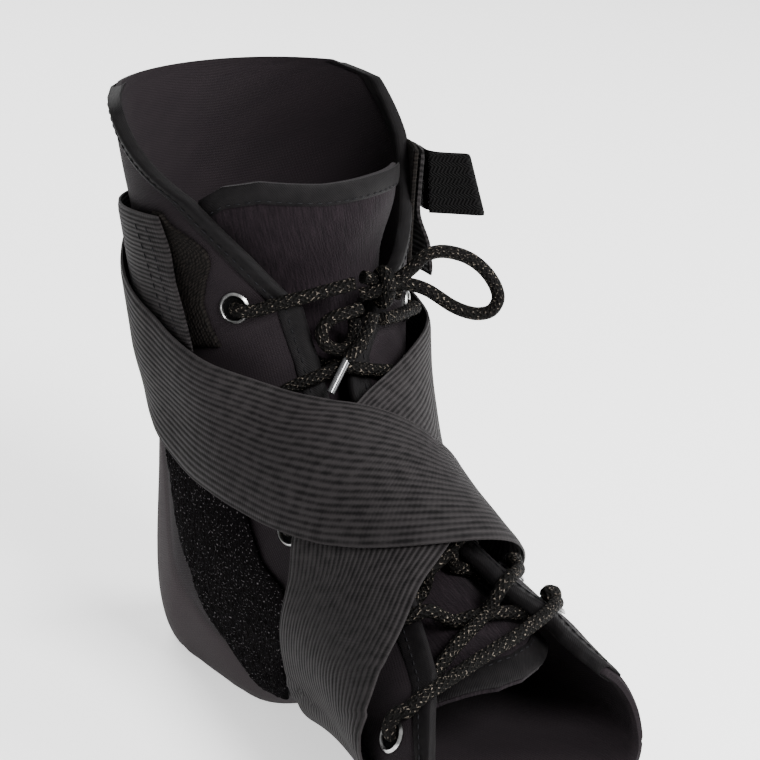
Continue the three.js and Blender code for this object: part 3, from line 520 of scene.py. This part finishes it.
tongue_stations, tongue_angles = tongue_places(tongue_top, tongue_toe, 220, 60)
puff = 0.35 * np.sin(tongue_stations * 5 + tongue_angles * 0.05) * np.cos(tongue_angles * 0.09)
tongue = laid_cloth(
    "padded_tongue",
    on_skin(tongue_stations, tongue_angles, tongue_lift(tongue_stations) + puff),
    on_skin(tongue_stations, tongue_angles, tongue_lift(tongue_stations) - TONGUE_WALL),
    NAP,
    rim=0.6,
)
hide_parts("tongue")


def sewn_hem(name, edge, side, width, node):
    def inset(share):
        def at(angle):
            station_mm = np.linalg.norm(skin_steps(edge(angle), angle)[0], axis=-1) / MM
            return edge(angle) + side * share * width / station_mm
        return at
    stations, angles = tongue_places(inset(-0.04), inset(1), HEM_STEPS, 90)
    crown = 0.5 + 0.35 * np.sin(np.pi * np.linspace(0, 1, HEM_STEPS))[:, None]
    base = tongue_lift(stations)
    top = on_skin(stations, angles, base + crown)
    piece = laid_cloth(name, top, on_skin(stations, angles, base - 0.2), TAPE)
    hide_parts(node)
    across = np.linspace(-HEM_HALF_ANGLE, HEM_HALF_ANGLE, 120)
    line = inset(0.84)(across)
    seam = on_skin(line, across, tongue_lift(line) + 0.75)
    stitches(name + "_stitches", seam, skin_normal(line, across))


sewn_hem("tongue_top_band", tongue_top, 1, 6, "tongue_top_hem")
sewn_hem("tongue_toe_band", tongue_toe, -1, 8, "tongue_toe_hem")

# Panels of loop pile on both sides of the heel, which the straps' hooks grip. The pile is a dense
# mat of tiny bent loops, so its surface is rough; its rare bright specks are painted glints.
PATCH_EDGES = np.array([
    [3.9, 62, 100], [4.6, 56, 95], [5.5, 53, 91], [6.3, 56, 89], [7, 61, 95], [7.5, 62, 99],
    [7.9, 66, 107], [8.3, 78, 115], [8.7, 96, 121], [8.9, 106, 124],
])
PATCH_WALL = 0.9
PILE = new_finish("loop_pile", (0.00025, 0.00025, 0.00029), 0.9, gloss=0.02)
pile_map = cloth_map(PILE)
pile_cells = add_node(PILE, "ShaderNodeTexVoronoi", {"Scale": 1.5})
join(PILE, pile_map, pile_cells.inputs["Vector"])
pile_noise = noise(PILE, pile_map, 2.2, 5)
pile_height = mix_math(PILE, "ADD", pile_cells.outputs["Distance"], pile_noise)
bump(PILE, pile_height, 0.5, 1.0)
# Painted glints: where the noise passes 0.7 the pile turns bright, standing for light catching the loops.
two_tone(PILE, noise(PILE, pile_map, 1.3, 2), 0.63, 0.7, (0.0018, 0.0015, 0.0017), (0.11, 0.1, 0.105))


def pile_panel(name, side, node):
    stations = np.linspace(PATCH_EDGES[0, 0], PATCH_EDGES[-1, 0], 110)[:, None]
    front = np.interp(stations, PATCH_EDGES[:, 0], PATCH_EDGES[:, 1])
    back = np.interp(stations, PATCH_EDGES[:, 0], PATCH_EDGES[:, 2])
    angles = side * (front + (back - front) * np.linspace(0, 1, 40)[None, :])
    stations = stations + 0 * angles
    tufts = np.random.default_rng(4).normal(0, 0.13, angles.shape)
    outer = on_skin(stations, angles, PIECE_GAP + PATCH_WALL + tufts)
    piece = laid_cloth(name, outer, on_skin(stations, angles, 0 * angles - 0.2), PILE)
    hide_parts(node)


pile_panel("inner_pile_panel", -1, "inner_loop_patch")
pile_panel("outer_pile_panel", 1, "outer_loop_patch")

# The straps: ribbed elastic webbing, sewn under the arch. Each crosses the instep, goes round the
# back of the leg and comes forward again, and the diagonal one lies over the upright one.
STRAP_WALL = 1.4
STRAP_WIDTH = 38
STRAP_STEPS = 420
TURN_BLEND = 20
END_SEAMS = (-7, -12)
EYELET_PLACES = np.array([
    [2.98, -42, 3.38, 54], [4.62, -41, 4.4, 46], [5.63, -41, 5.5, 44], [6.79, -46, 6.55, 42],
    [8.1, -52, 7.6, 44], [9.5, -58, 8.65, 46], [10.85, -69, 9.6, 46],
])
DIAGONAL_STRAP = np.array([
    [9.5, 172, 1], [9.1, 142, 1], [8.5, 112, 1], [7.85, 84, 1], [7.5, 58, 1.04], [7.42, 34, 1.1],
    [7.28, 10, 1.16], [6.6, -11, 1], [5.86, -27, 0.9], [5.12, -45, 0.9], [4.56, -63, 0.97], [4.1, -80, 1],
    [3.72, -98, 1], [3.15, -135, 1], [2.7, -178, 1], [2.45, -218, 1], [2.3, -258, 1], [2.28, -292, 1],
])
UPRIGHT_STRAP = np.array([
    [9.85, -172, 1.1], [9.98, -130, 1.24], [9.96, -96, 1.42], [9.56, -77, 1.48], [9.1, -58, 1.34],
    [8.42, -40, 1.12], [7.75, -25, 1.14], [7.1, -7, 1.04], [6.35, 12, 1], [5.55, 32, 1],
    [4.8, 54, 1], [4.2, 84, 1], [3.55, 118, 1], [3.05, 155, 1], [2.8, 195, 1], [2.72, 235, 1],
    [2.7, 270, 1], [2.7, 303, 1],
])
BINDING_PROUD = 0.1
LACE_LIFT = BINDING_PROUD + PIECE_GAP + LACE_RADIUS
LACE_HUMP = 1.0


def lacing_share(station, angle):
    turned = (angle + 180) % 360 - 180
    inner_reach = np.interp(station, EYELET_PLACES[:, 0], -EYELET_PLACES[:, 1])
    outer_reach = np.interp(station, EYELET_PLACES[:, 2], EYELET_PLACES[:, 3])
    start = np.where(turned < 0, inner_reach, outer_reach) + 5
    return ease(2.2, 2.7, station) * (1 - ease(start, start + 34, np.abs(turned)))


def base_lift(station, angle):
    low = PIECE_GAP + PATCH_WALL + STRAP_GAP
    high = LACE_LIFT + LACE_RADIUS + LACE_HUMP + STRAP_GAP
    return low + (high - low) * lacing_share(station, angle)


def strap_line(rows, count):
    return through_rows(rows, np.linspace(0, len(rows) - 1, count))


upright_line = skin(*strap_line(UPRIGHT_STRAP, 160)[:, :2].T)


def diagonal_lift(station, angle):
    here = skin(station, angle).reshape(-1, 3)
    distance = np.min(np.linalg.norm(here[:, None, :] - upright_line[None, :, :], axis=-1), axis=1)
    over = 1 - ease(STRAP_WIDTH / 2 + 3, STRAP_WIDTH / 2 + 24, distance.reshape(station.shape) / MM)
    return base_lift(station, angle) + over * (STRAP_WALL + STRAP_GAP + PIECE_GAP)


def webbing_finish(name, pitch):
    finish = new_finish(name, (0.01056, 0.00941, 0.00988), 0.7, sheen=0.25)
    lie = cloth_map(finish)
    ribs = waves(finish, lie, pitch, "X")
    picks = waves(finish, lie, 0.75, "Y", distortion=0.8)
    body = mix_math(finish, "ADD", ribs, mix_math(finish, "MULTIPLY", picks, 0.16))
    bump(finish, body, 0.3, 0.9)
    # Painted shade: the colour follows the rib relief, darker in the grooves and lighter on the rib tops,
    # mixed with a random tone.
    shade = mix_math(finish, "ADD", mix_math(finish, "MULTIPLY", body, 0.5), noise(finish, lie, 0.35, 4))
    two_tone(finish, shade, 0.45, 1.15, (0.00326, 0.00291, 0.00307), (0.01788, 0.01593, 0.01636))
    return finish


def webbing_strap(name, rows, lift, finish, node, slant=0.0):
    line = strap_line(rows, STRAP_STEPS)
    middle = skin(line[:, 0], line[:, 1])
    ahead = unit(np.gradient(middle, axis=0))
    across = unit(np.cross(ahead, skin_normal(line[:, 0], line[:, 1])))
    longer = np.pad(across, ((TURN_BLEND, TURN_BLEND), (0, 0)), mode="edge")
    blend = np.ones(2 * TURN_BLEND + 1)
    across = unit(np.stack([np.convolve(column, blend, "valid") for column in longer.T], -1))
    shares = np.linspace(-1, 1, 27)
    upper = (1 + shares * np.sign(across[-1, 2])) / 2
    run_shares = np.linspace(0, 1, STRAP_STEPS)[:, None]
    places = run_shares ** 3 * upper[None, :] * -slant + run_shares
    rows_at = through_rows(rows, places * (len(rows) - 1))
    station, angle, width = rows_at[..., 0], rows_at[..., 1], rows_at[..., 2]
    direction = across[:, None, :] * np.sign(shares)[None, :, None]
    distance = np.abs(shares)[None, :] * width * STRAP_WIDTH / 2
    station, angle = move_on_skin(station, angle, direction, distance)
    height = lift(station, angle)
    edge_drop = 0.35 * ease(0.86, 1, np.abs(shares))[None, :]
    ripple = 0.08 * np.sin(np.cumsum(np.full(STRAP_STEPS, 0.21)))[:, None] * np.abs(shares)[None, :] ** 3
    outer = on_skin(station, angle, height + STRAP_WALL - edge_drop + ripple)
    inner = on_skin(station, angle, height + ripple)
    run = np.concatenate([[0], np.cumsum(np.linalg.norm(np.diff(middle, axis=0), axis=-1))]) / MM
    flat = np.stack(np.broadcast_arrays(shares[None, :] * STRAP_WIDTH / 2, run[:, None]), -1)
    piece = laid_cloth(name, outer, inner, finish, cloth=flat, rim=0.6)
    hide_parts(node)
    return outer, skin_normal(station, angle)


WIDE_RIBS = webbing_finish("wide_ribbed_webbing", 1.8)
FINE_RIBS = webbing_finish("fine_ribbed_webbing", 1.3)
upright_top, upright_normal = webbing_strap(
    "upright_webbing", UPRIGHT_STRAP, base_lift, FINE_RIBS, "upright_strap", slant=0.03)
diagonal_top, diagonal_normal = webbing_strap(
    "diagonal_webbing", DIAGONAL_STRAP, diagonal_lift, WIDE_RIBS, "diagonal_strap")
for strap_name, top, normal in (
    ("upright_end_stitches", upright_top, upright_normal),
    ("diagonal_end_stitches", diagonal_top, diagonal_normal),
):
    for ending, at_row in zip(("", "_second"), END_SEAMS):
        seam_normal = normal[at_row, 1:-1]
        stitches(strap_name + ending, top[at_row, 1:-1] + seam_normal * 0.15 * MM, seam_normal)

# Hook tabs under the straps' ends: short stiff pads of tiny hooks that hold on the pile.
# The inner one has a ragged front edge, which shows beside the webbing.
HOOK = new_finish("hook_pile", (0.0054, 0.00456, 0.00408), 0.8)
hook_map = cloth_map(HOOK)
hook_dots = add_node(HOOK, "ShaderNodeTexVoronoi", {"Scale": 0.9, "Randomness": 0.35})
join(HOOK, hook_map, hook_dots.inputs["Vector"])
bump(HOOK, hook_dots.outputs["Distance"], 0.5, 1.0)
two_tone(
    HOOK, hook_dots.outputs["Distance"], 0.15, 0.6, (0.009, 0.00744, 0.00648), (0.0024, 0.00204, 0.00192))


def hook_pad(name, side, front_edge, back, node):
    stations = np.linspace(front_edge[0][0], front_edge[-1][0], 60)[:, None]
    front = np.interp(stations, *np.array(front_edge).T)
    angles = side * (front + (back - front) * np.linspace(0, 1, 30)[None, :]) + 0 * stations
    stations = stations + 0 * angles
    outer = on_skin(stations, angles, PIECE_GAP + PATCH_WALL + 0 * angles)
    piece = laid_cloth(name, outer, on_skin(stations, angles, 0 * angles - 0.2), HOOK)
    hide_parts(node)


INNER_PAD_FRONT = [
    (1.92, 72), (2.05, 67), (2.17, 57), (2.3, 51), (2.45, 50), (2.65, 53), (2.95, 56), (3.2, 54), (3.55, 50),
]
hook_pad("inner_hook_pad", -1, INNER_PAD_FRONT, 76, "inner_hook_tab")
hook_pad("outer_hook_pad", 1, [(1.5, 64), (3, 64)], 84, "outer_hook_tab")

# The eyelets: bright pressed metal rings, rolled over the flaps' faces round their holes.
# Each is one turned profile, and a black disc in its bore is painted shade, standing for the shaded space
# behind it.
EYELET_OUTER = 9
EYELET_BORE = 6.7
METAL = new_finish("eyelet_metal", (0.62, 0.62, 0.6), 0.28, metallic=1.0)
scratches = add_node(METAL, "ShaderNodeTexCoord")
wear = noise(METAL, scratches.outputs["Object"], 900, 4)
bump(METAL, wear, 0.03, 0.5)
two_tone(METAL, wear, 0.3, 0.7, (0.22, 0.22, 0.22), (0.5, 0.5, 0.49))
# Painted shade: a black disc fills each bore in place of the shaded space behind the ring.
BORE_SHADE = new_finish("eyelet_bore_shade", (0.001, 0.001, 0.001), 1.0)
bump(BORE_SHADE, noise(BORE_SHADE, add_node(BORE_SHADE, "ShaderNodeTexCoord").outputs["Object"], 1500), 0.05)


def eyelet_ring(side, number, station, angle):
    form = bmesh.new()
    bore = EYELET_BORE / 2
    outer = EYELET_OUTER / 2
    section = [
        (bore, -SHELL_WALL), (bore - 0.05, -0.2), (bore + 0.1, 0.7), (bore + 0.5, 0.98), (outer - 0.35, 0.8),
        (outer, 0.4), (outer - 0.1, 0.2), (bore + 0.45, 0.2), (bore + 0.4, -SHELL_WALL),
    ]
    ring = [form.verts.new((radius * MM, 0, height * MM)) for radius, height in section]
    edges = [form.edges.new((a, b)) for a, b in zip(ring, ring[1:] + ring[:1])]
    bmesh.ops.spin(
        form, geom=ring + edges, cent=(0, 0, 0), axis=(0, 0, 1), angle=2 * math.pi, steps=40, use_merge=True)
    bmesh.ops.remove_doubles(form, verts=form.verts[:], dist=1e-6)
    # The black disc of painted shade, set inside the bore.
    shade_well_radius = bore * 0.98 * MM
    shade_well = bmesh.ops.create_cone(
        form, cap_ends=True, segments=24, radius1=shade_well_radius, radius2=shade_well_radius, depth=1.2 * MM)
    bmesh.ops.translate(form, vec=(0, 0, -0.3 * MM), verts=shade_well["verts"])
    for face in {face for vert in shade_well["verts"] for face in vert.link_faces}:
        face.material_index = 1
    normal = Vector(skin_normal(station, angle))
    turn = normal.to_track_quat("Z", "Y").to_matrix().to_4x4()
    place = Matrix.Translation(Vector(skin(station, angle))) @ turn
    bmesh.ops.transform(form, matrix=place, verts=form.verts[:])
    piece = finished_object(f"{side}_ring_{number}", form, METAL, sharp=60)
    piece.data.materials.append(BORE_SHADE)
    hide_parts(f"{side}_eyelet_{number}")


for pair, row in enumerate(EYELET_PLACES, start=1):
    eyelet_ring("inner", pair, row[0], row[1])
    eyelet_ring("outer", pair, row[2], row[3])

# The lace: one round braided cord, black with light flecks on the braid's crests, partly flecked yarn and
# partly painted highlight. It starts at the knot, crosses down the tongue from flap to flap through every
# eyelet, and comes back up to the knot.
ABOVE = LACE_LIFT
BELOW = -SHELL_WALL - 1.5 * PIECE_GAP - LACE_RADIUS
CORD = new_finish("braided_cord", (0.00504, 0.0045, 0.00396), 0.7)
one_way = waves(CORD, cloth_map(CORD, turn=38), 1.25)
other_way = waves(CORD, cloth_map(CORD, turn=-38), 1.25)
braid = mix_math(CORD, "MAXIMUM", one_way, other_way)
bump(CORD, braid, 0.4, 1.0)
# Partly painted highlight: the light flecks fall only on the braid's crests, where light catches the cord,
# over a flecked yarn.
fleck_and_crest_highlight = mix_math(CORD, "MULTIPLY", braid, noise(CORD, cloth_map(CORD), 1.1, 2))
two_tone(CORD, fleck_and_crest_highlight, 0.54, 0.68, (0.0018, 0.0016, 0.0014), (0.13, 0.11, 0.09))


def smooth_line(points, step):
    points = np.asarray(points, float)
    padded = np.vstack([2 * points[0] - points[1], points, 2 * points[-1] - points[-2]])
    made = [points[:1]]
    for a, b, c, d in zip(padded, padded[1:], padded[2:], padded[3:]):
        knots = np.cumsum([0] + [np.linalg.norm(q - p) ** 0.5 for p, q in ((a, b), (b, c), (c, d))])
        count = max(int(np.ceil(np.linalg.norm(c - b) / step)), 1)
        t = np.linspace(knots[1], knots[2], count + 1)[1:, None]
        ab = a + (b - a) * (t - knots[0]) / (knots[1] - knots[0])
        bc = b + (c - b) * (t - knots[1]) / (knots[2] - knots[1])
        cd = c + (d - c) * (t - knots[2]) / (knots[3] - knots[2])
        abc = ab + (bc - ab) * (t - knots[0]) / (knots[2] - knots[0])
        bcd = bc + (cd - bc) * (t - knots[1]) / (knots[3] - knots[1])
        made.append(abc + (bcd - abc) * (t - knots[1]) / (knots[2] - knots[1]))
    return np.vstack(made)


def cord_tube(name, points, radius_mm, material, sides=14):
    tangents = unit(np.gradient(points, axis=0))
    side = unit(np.cross(tangents[0], (0.3, 0.2, 1)))
    turns = np.linspace(0, 2 * math.pi, sides + 1)
    rings = []
    for point, tangent in zip(points, tangents):
        side = unit(side - tangent * np.dot(side, tangent))
        other = np.cross(tangent, side)
        spokes = side * np.cos(turns)[:, None] + other * np.sin(turns)[:, None]
        rings.append(point + spokes * radius_mm * MM)
    rings = np.array(rings)
    run = np.concatenate([[0], np.cumsum(np.linalg.norm(np.diff(points, axis=0), axis=-1))]) / MM
    form = bmesh.new()
    bmesh.ops.create_grid(form, x_segments=sides, y_segments=len(points) - 1, size=0.5)
    spot = form.verts.layers.int.new("spot")
    for vert in form.verts:
        i = round((vert.co.y + 0.5) * (len(points) - 1))
        j = round((vert.co.x + 0.5) * sides)
        vert[spot] = i * (sides + 1) + j
        vert.co = rings[i, j]
    lay = form.loops.layers.uv.new("cloth")
    for face in form.faces:
        for loop in face.loops:
            i, j = divmod(loop.vert[spot], sides + 1)
            loop[lay].uv = (turns[j] * radius_mm, run[i])
    bmesh.ops.remove_doubles(form, verts=form.verts[:], dist=1e-7)
    bmesh.ops.holes_fill(form, edges=[edge for edge in form.edges if edge.is_boundary], sides=0)
    return finished_object(name, form, material, sharp=60)


def through_eyelet(station, angle, side, enters):
    towards = 1 if side == "inner" else -1
    bend = np.array([
        [6.5, ABOVE + 0.2], [3.4, ABOVE + LACE_HUMP], [1, ABOVE - 0.5], [0, -0.8],
        [0.5, -SHELL_WALL - 1.3], [3, BELOW], [6, BELOW],
    ])
    angles = angle + towards * bend[:, 0] / degree_mm(station, angle)
    points = on_skin(np.full(len(bend), station), angles, bend[:, 1])
    return points if enters == ABOVE else points[::-1]


def across_tongue(start, end, bow, leaves, enters, middle_lift):
    shares = np.linspace(0, 1, 201)

    def place(share):
        station = start[0] + (end[0] - start[0]) * share + bow * np.sin(np.pi * share)
        return station, start[1] + (end[1] - start[1]) * share

    stations, angles = place(shares)
    open_shares = shares[(angles > inner_edge(stations)) & (angles < outer_edge(stations))]
    leave, enter = open_shares[0], open_shares[-1]
    margin = 3.5 / (degree_mm(start[0], 0) * abs(end[1] - start[1]))
    first = leave + margin
    last = enter - margin
    middles = (0.25, 0.5, 0.75) if last - first > 2 * margin else (0.5,)
    steps = [(leave / 2, leaves), (leave - 0.6 * margin, leaves + 0.1)]
    steps.append((first, ABOVE - 0.6 if leaves == ABOVE else leaves))
    steps += [(first + (last - first) * share, middle_lift) for share in middles]
    steps.append((last, ABOVE - 0.6 if enters == ABOVE else enters))
    steps += [(enter + 0.6 * margin, enters + 0.1), ((1 + enter) / 2, enters)]
    steps = np.array(steps)
    return on_skin(*place(steps[:, 0]), steps[:, 1])


# Each row: side, eyelet pair, the face by which the lace enters, and how far the next run bows
LACE_ORDER = [
    ("inner", 1, ABOVE, 0.45), ("outer", 2, ABOVE, 0), ("inner", 3, ABOVE, 0), ("outer", 4, BELOW, 0),
    ("inner", 5, BELOW, 0), ("outer", 6, BELOW, 0.15), ("inner", 7, BELOW, 0.5), ("outer", 7, ABOVE, 0),
    ("inner", 6, ABOVE, 0), ("outer", 5, ABOVE, 0), ("inner", 4, ABOVE, 0), ("outer", 3, BELOW, 0),
    ("inner", 2, BELOW, 0), ("outer", 1, BELOW, 0),
]
LACE_START = np.array([[2.71, 6, 4.4], [2.76, -2, 3], [2.82, -12, 2.5], [2.88, -22, 2.5]])
LACE_END = np.array([[3.38, 37, 2.5], [3.37, 29, 2.6], [3.35, 21, 2.9]])
lace_points = [on_skin(*LACE_START.T)]
for stop, (side, pair, enters, bow) in enumerate(LACE_ORDER):
    row = EYELET_PLACES[pair - 1]
    here = (row[0], row[1]) if side == "inner" else (row[2], row[3])
    lace_points.append(through_eyelet(*here, side, enters))
    if stop == len(LACE_ORDER) - 1:
        break
    next_side, next_pair, next_enters, _ = LACE_ORDER[stop + 1]
    row = EYELET_PLACES[next_pair - 1]
    there = (row[0], row[1]) if next_side == "inner" else (row[2], row[3])
    low = float(tongue_lift(np.array(here[0]))) + 3 * PIECE_GAP + LACE_RADIUS
    crossing = low + LACE_ROOM if side == "inner" else low
    middle_lift = ABOVE - 1 if pair == next_pair else crossing
    leaves = BELOW if enters == ABOVE else ABOVE
    lace_points.append(across_tongue(here, there, bow, leaves, next_enters, middle_lift))
lace_points.append(on_skin(*LACE_END.T))
lace = cord_tube("braided_lace", smooth_line(np.vstack(lace_points), 0.0012), LACE_RADIUS, CORD)
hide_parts("lace")

# The bow at the top of the lacing, tied in the same cord: a tight knot, a long loop that stands out
# over the outer side and a short loop that lies on the tongue.
BOW_SIDE = unit(np.array([0.975, -0.2, -0.09]))
BOW_OUT = unit(np.array([-0.2, -0.98, 0.05]))
BOW_UP = unit(np.cross(BOW_OUT, BOW_SIDE))
KNOT_MIDDLE = on_skin(2.83, 18, 5.4)


def from_knot(rows):
    rows = np.asarray(rows, float) * MM
    return KNOT_MIDDLE + rows[:, :1] * BOW_SIDE + rows[:, 1:2] * BOW_UP + rows[:, 2:] * BOW_OUT


wrap_turns = np.linspace(0, 2 * math.pi, 60)
wrap = np.stack([0.9 * np.cos(wrap_turns), 4.3 * np.sin(wrap_turns), 3 * np.cos(wrap_turns)], -1)
knot = cord_tube("bow_knot_wrap", from_knot(wrap), LACE_RADIUS * 1.05, CORD)
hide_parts("bow_knot")
for number, strand in enumerate((
    [[-6.5, -2.2, 0], [-2, -0.8, 1.2], [2, 1.6, 1.2], [6, 3.4, 0.4]],
    [[-6.2, 3, 0.2], [-2, 1.6, -1], [2, -1, -1], [5.6, -2, -0.4]],
), start=1):
    piece = cord_tube(f"bow_knot_strand_{number}", smooth_line(from_knot(strand), 0.001), LACE_RADIUS, CORD)
LONG_LOOP = [
    [3.4, 2.4, 1], [5.4, 4, 1.4], [7.8, 6.2, 1.6], [10.6, 9.4, 2], [14, 10.8, 2.1], [17.5, 10.9, 2.2],
    [23.5, 9.3, 2.3], [28.9, 5.6, 2.2], [32.7, 0.6, 2], [33.6, -2.9, 1.9], [31.9, -6.1, 1.7],
    [28.5, -7.1, 1.4], [24.7, -6.6, 1.1], [20.5, -5, 0.8], [16.8, -2.8, 0.5], [13.2, -0.7, 0.3],
    [9.8, 0.5, 0], [6.5, 1.1, 0], [3.4, 1, 0],
]
SHORT_LOOP = np.array([
    [3.07, 8, 4.6], [3.1, 4, 4.6], [3.14, -2, 4], [3.24, -6, 3.2], [3.43, -8, 2.8], [3.65, -6, 2.6],
    [3.77, 0, 2.6], [3.7, 4, 2.2], [3.48, 8, 1.2], [3.3, 9, 0],
])
for name, node, route in (
    ("long_loop", "bow_long_loop", smooth_line(from_knot(LONG_LOOP), 0.0012)),
    ("short_loop", "bow_short_loop", smooth_line(on_skin(*SHORT_LOOP.T), 0.0012)),
):
    loop = cord_tube(name, route, LACE_RADIUS, CORD)
    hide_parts(node)

# The lace's loose end: the same cord, held by the knot and hanging below it. A clear film aglet is
# pressed round its tip.
LACE_TAIL = np.array([[3.14, 11, 7.2], [3.27, 10, 7.2], [3.54, 7.5, 6.8], [3.77, 4, 6.4], [3.98, 0, 5.4]])
tail_line = smooth_line(on_skin(*LACE_TAIL.T), 0.0012)
tail = cord_tube("lace_end", tail_line, LACE_RADIUS, CORD)
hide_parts("lace_tail")
CLEAR = new_finish("aglet_film", (0.05, 0.05, 0.052), 0.12, gloss=0.5)
CLEAR.node_tree.nodes["Principled BSDF"].inputs["Coat Weight"].default_value = 1.0
bump(CLEAR, noise(CLEAR, add_node(CLEAR, "ShaderNodeTexCoord").outputs["Object"], 400), 0.05, 0.4)
aglet_way = unit(on_skin(4.61, -8, 4.3) - tail_line[-1])
aglet_start = tail_line[-1] + aglet_way * 2 * PIECE_GAP * MM
aglet_line = aglet_start + aglet_way * np.linspace(-1.2, 10, 12)[:, None] * MM
aglet = cord_tube("clear_aglet", aglet_line, 1.15, CLEAR)
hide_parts("aglet")

# The pull tab: a loop of herringbone tape folded double and sewn on the diagonal strap's end.
# It stands out from the cuff's outer side.
TAB_WIDTH = 18
TAB_REACH = 14.5
TAB_WALL = 1
TAB_SHEAR = 0.16
TAB_STATION = 1.92
TAB_ANGLE = 70
TAB_LEAF = 0.75
HERRINGBONE = new_finish("herringbone_tape", (0.00184, 0.00173, 0.00179), 0.6, gloss=0.03)
zigzag = waves(HERRINGBONE, cloth_map(HERRINGBONE), 3.2, "X", "TRI")
slope = waves(HERRINGBONE, cloth_map(HERRINGBONE, turn=45), 0.8)
backslope = waves(HERRINGBONE, cloth_map(HERRINGBONE, turn=-45), 0.8)
which = mix_math(HERRINGBONE, "GREATER_THAN", zigzag, 0.5)
part_one = mix_math(HERRINGBONE, "MULTIPLY", slope, which)
part_two = mix_math(HERRINGBONE, "MULTIPLY", backslope, mix_math(HERRINGBONE, "SUBTRACT", 1.0, which))
herring = mix_math(HERRINGBONE, "ADD", part_one, part_two)
bump(HERRINGBONE, herring, 0.2, 1.0)
two_tone(HERRINGBONE, herring, 0.2, 0.9, (0.00092, 0.00086, 0.00089), (0.00459, 0.00432, 0.00438))
degree = 1 / float(degree_mm(TAB_STATION, TAB_ANGLE))
strap_lift = float(diagonal_lift(np.array([TAB_STATION]), np.array([float(TAB_ANGLE)]))[0])
strap_face = strap_lift + STRAP_WALL + STRAP_GAP + TAB_WALL
profile = np.array([
    [9, 0], [4.5, 0], [TAB_LEAF + 2, 0.6], [TAB_LEAF + 0.4, 3], [TAB_LEAF, 7],
    [TAB_LEAF + 0.1, TAB_REACH - 3], [TAB_LEAF, TAB_REACH - TAB_LEAF], [0, TAB_REACH],
    [-TAB_LEAF, TAB_REACH - TAB_LEAF], [-TAB_LEAF - 0.1, TAB_REACH - 3], [-TAB_LEAF, 7],
    [-TAB_LEAF, 2], [-TAB_LEAF, 0.4],
])
profile = smooth_line(np.column_stack([profile, np.zeros(len(profile))]), 0.5)[:, :2]
tab_stations = np.full(len(profile), TAB_STATION)
tab_angles = TAB_ANGLE + profile[:, 0] * degree
roots = on_skin(tab_stations, tab_angles, np.full(len(profile), strap_face))
tips = on_skin(tab_stations, tab_angles, strap_face + profile[:, 1]) - roots
outwards = unit(np.cross(np.gradient(roots + tips, axis=0), (0, 0, 1)))
heights = np.linspace(1, -1, 24)
tab_middle = roots[:, None, :] + tips[:, None, :] * (1 - heights * TAB_SHEAR)[None, :, None]
tab_middle = tab_middle + np.array([0, 0, 1]) * heights[None, :, None] * TAB_WIDTH / 2 * MM
tab_out = outwards[:, None, :] * TAB_WALL / 2 * MM
tab = laid_cloth("herringbone_pull_tab", tab_middle + tab_out, tab_middle - tab_out, HERRINGBONE)
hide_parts("pull_tab")
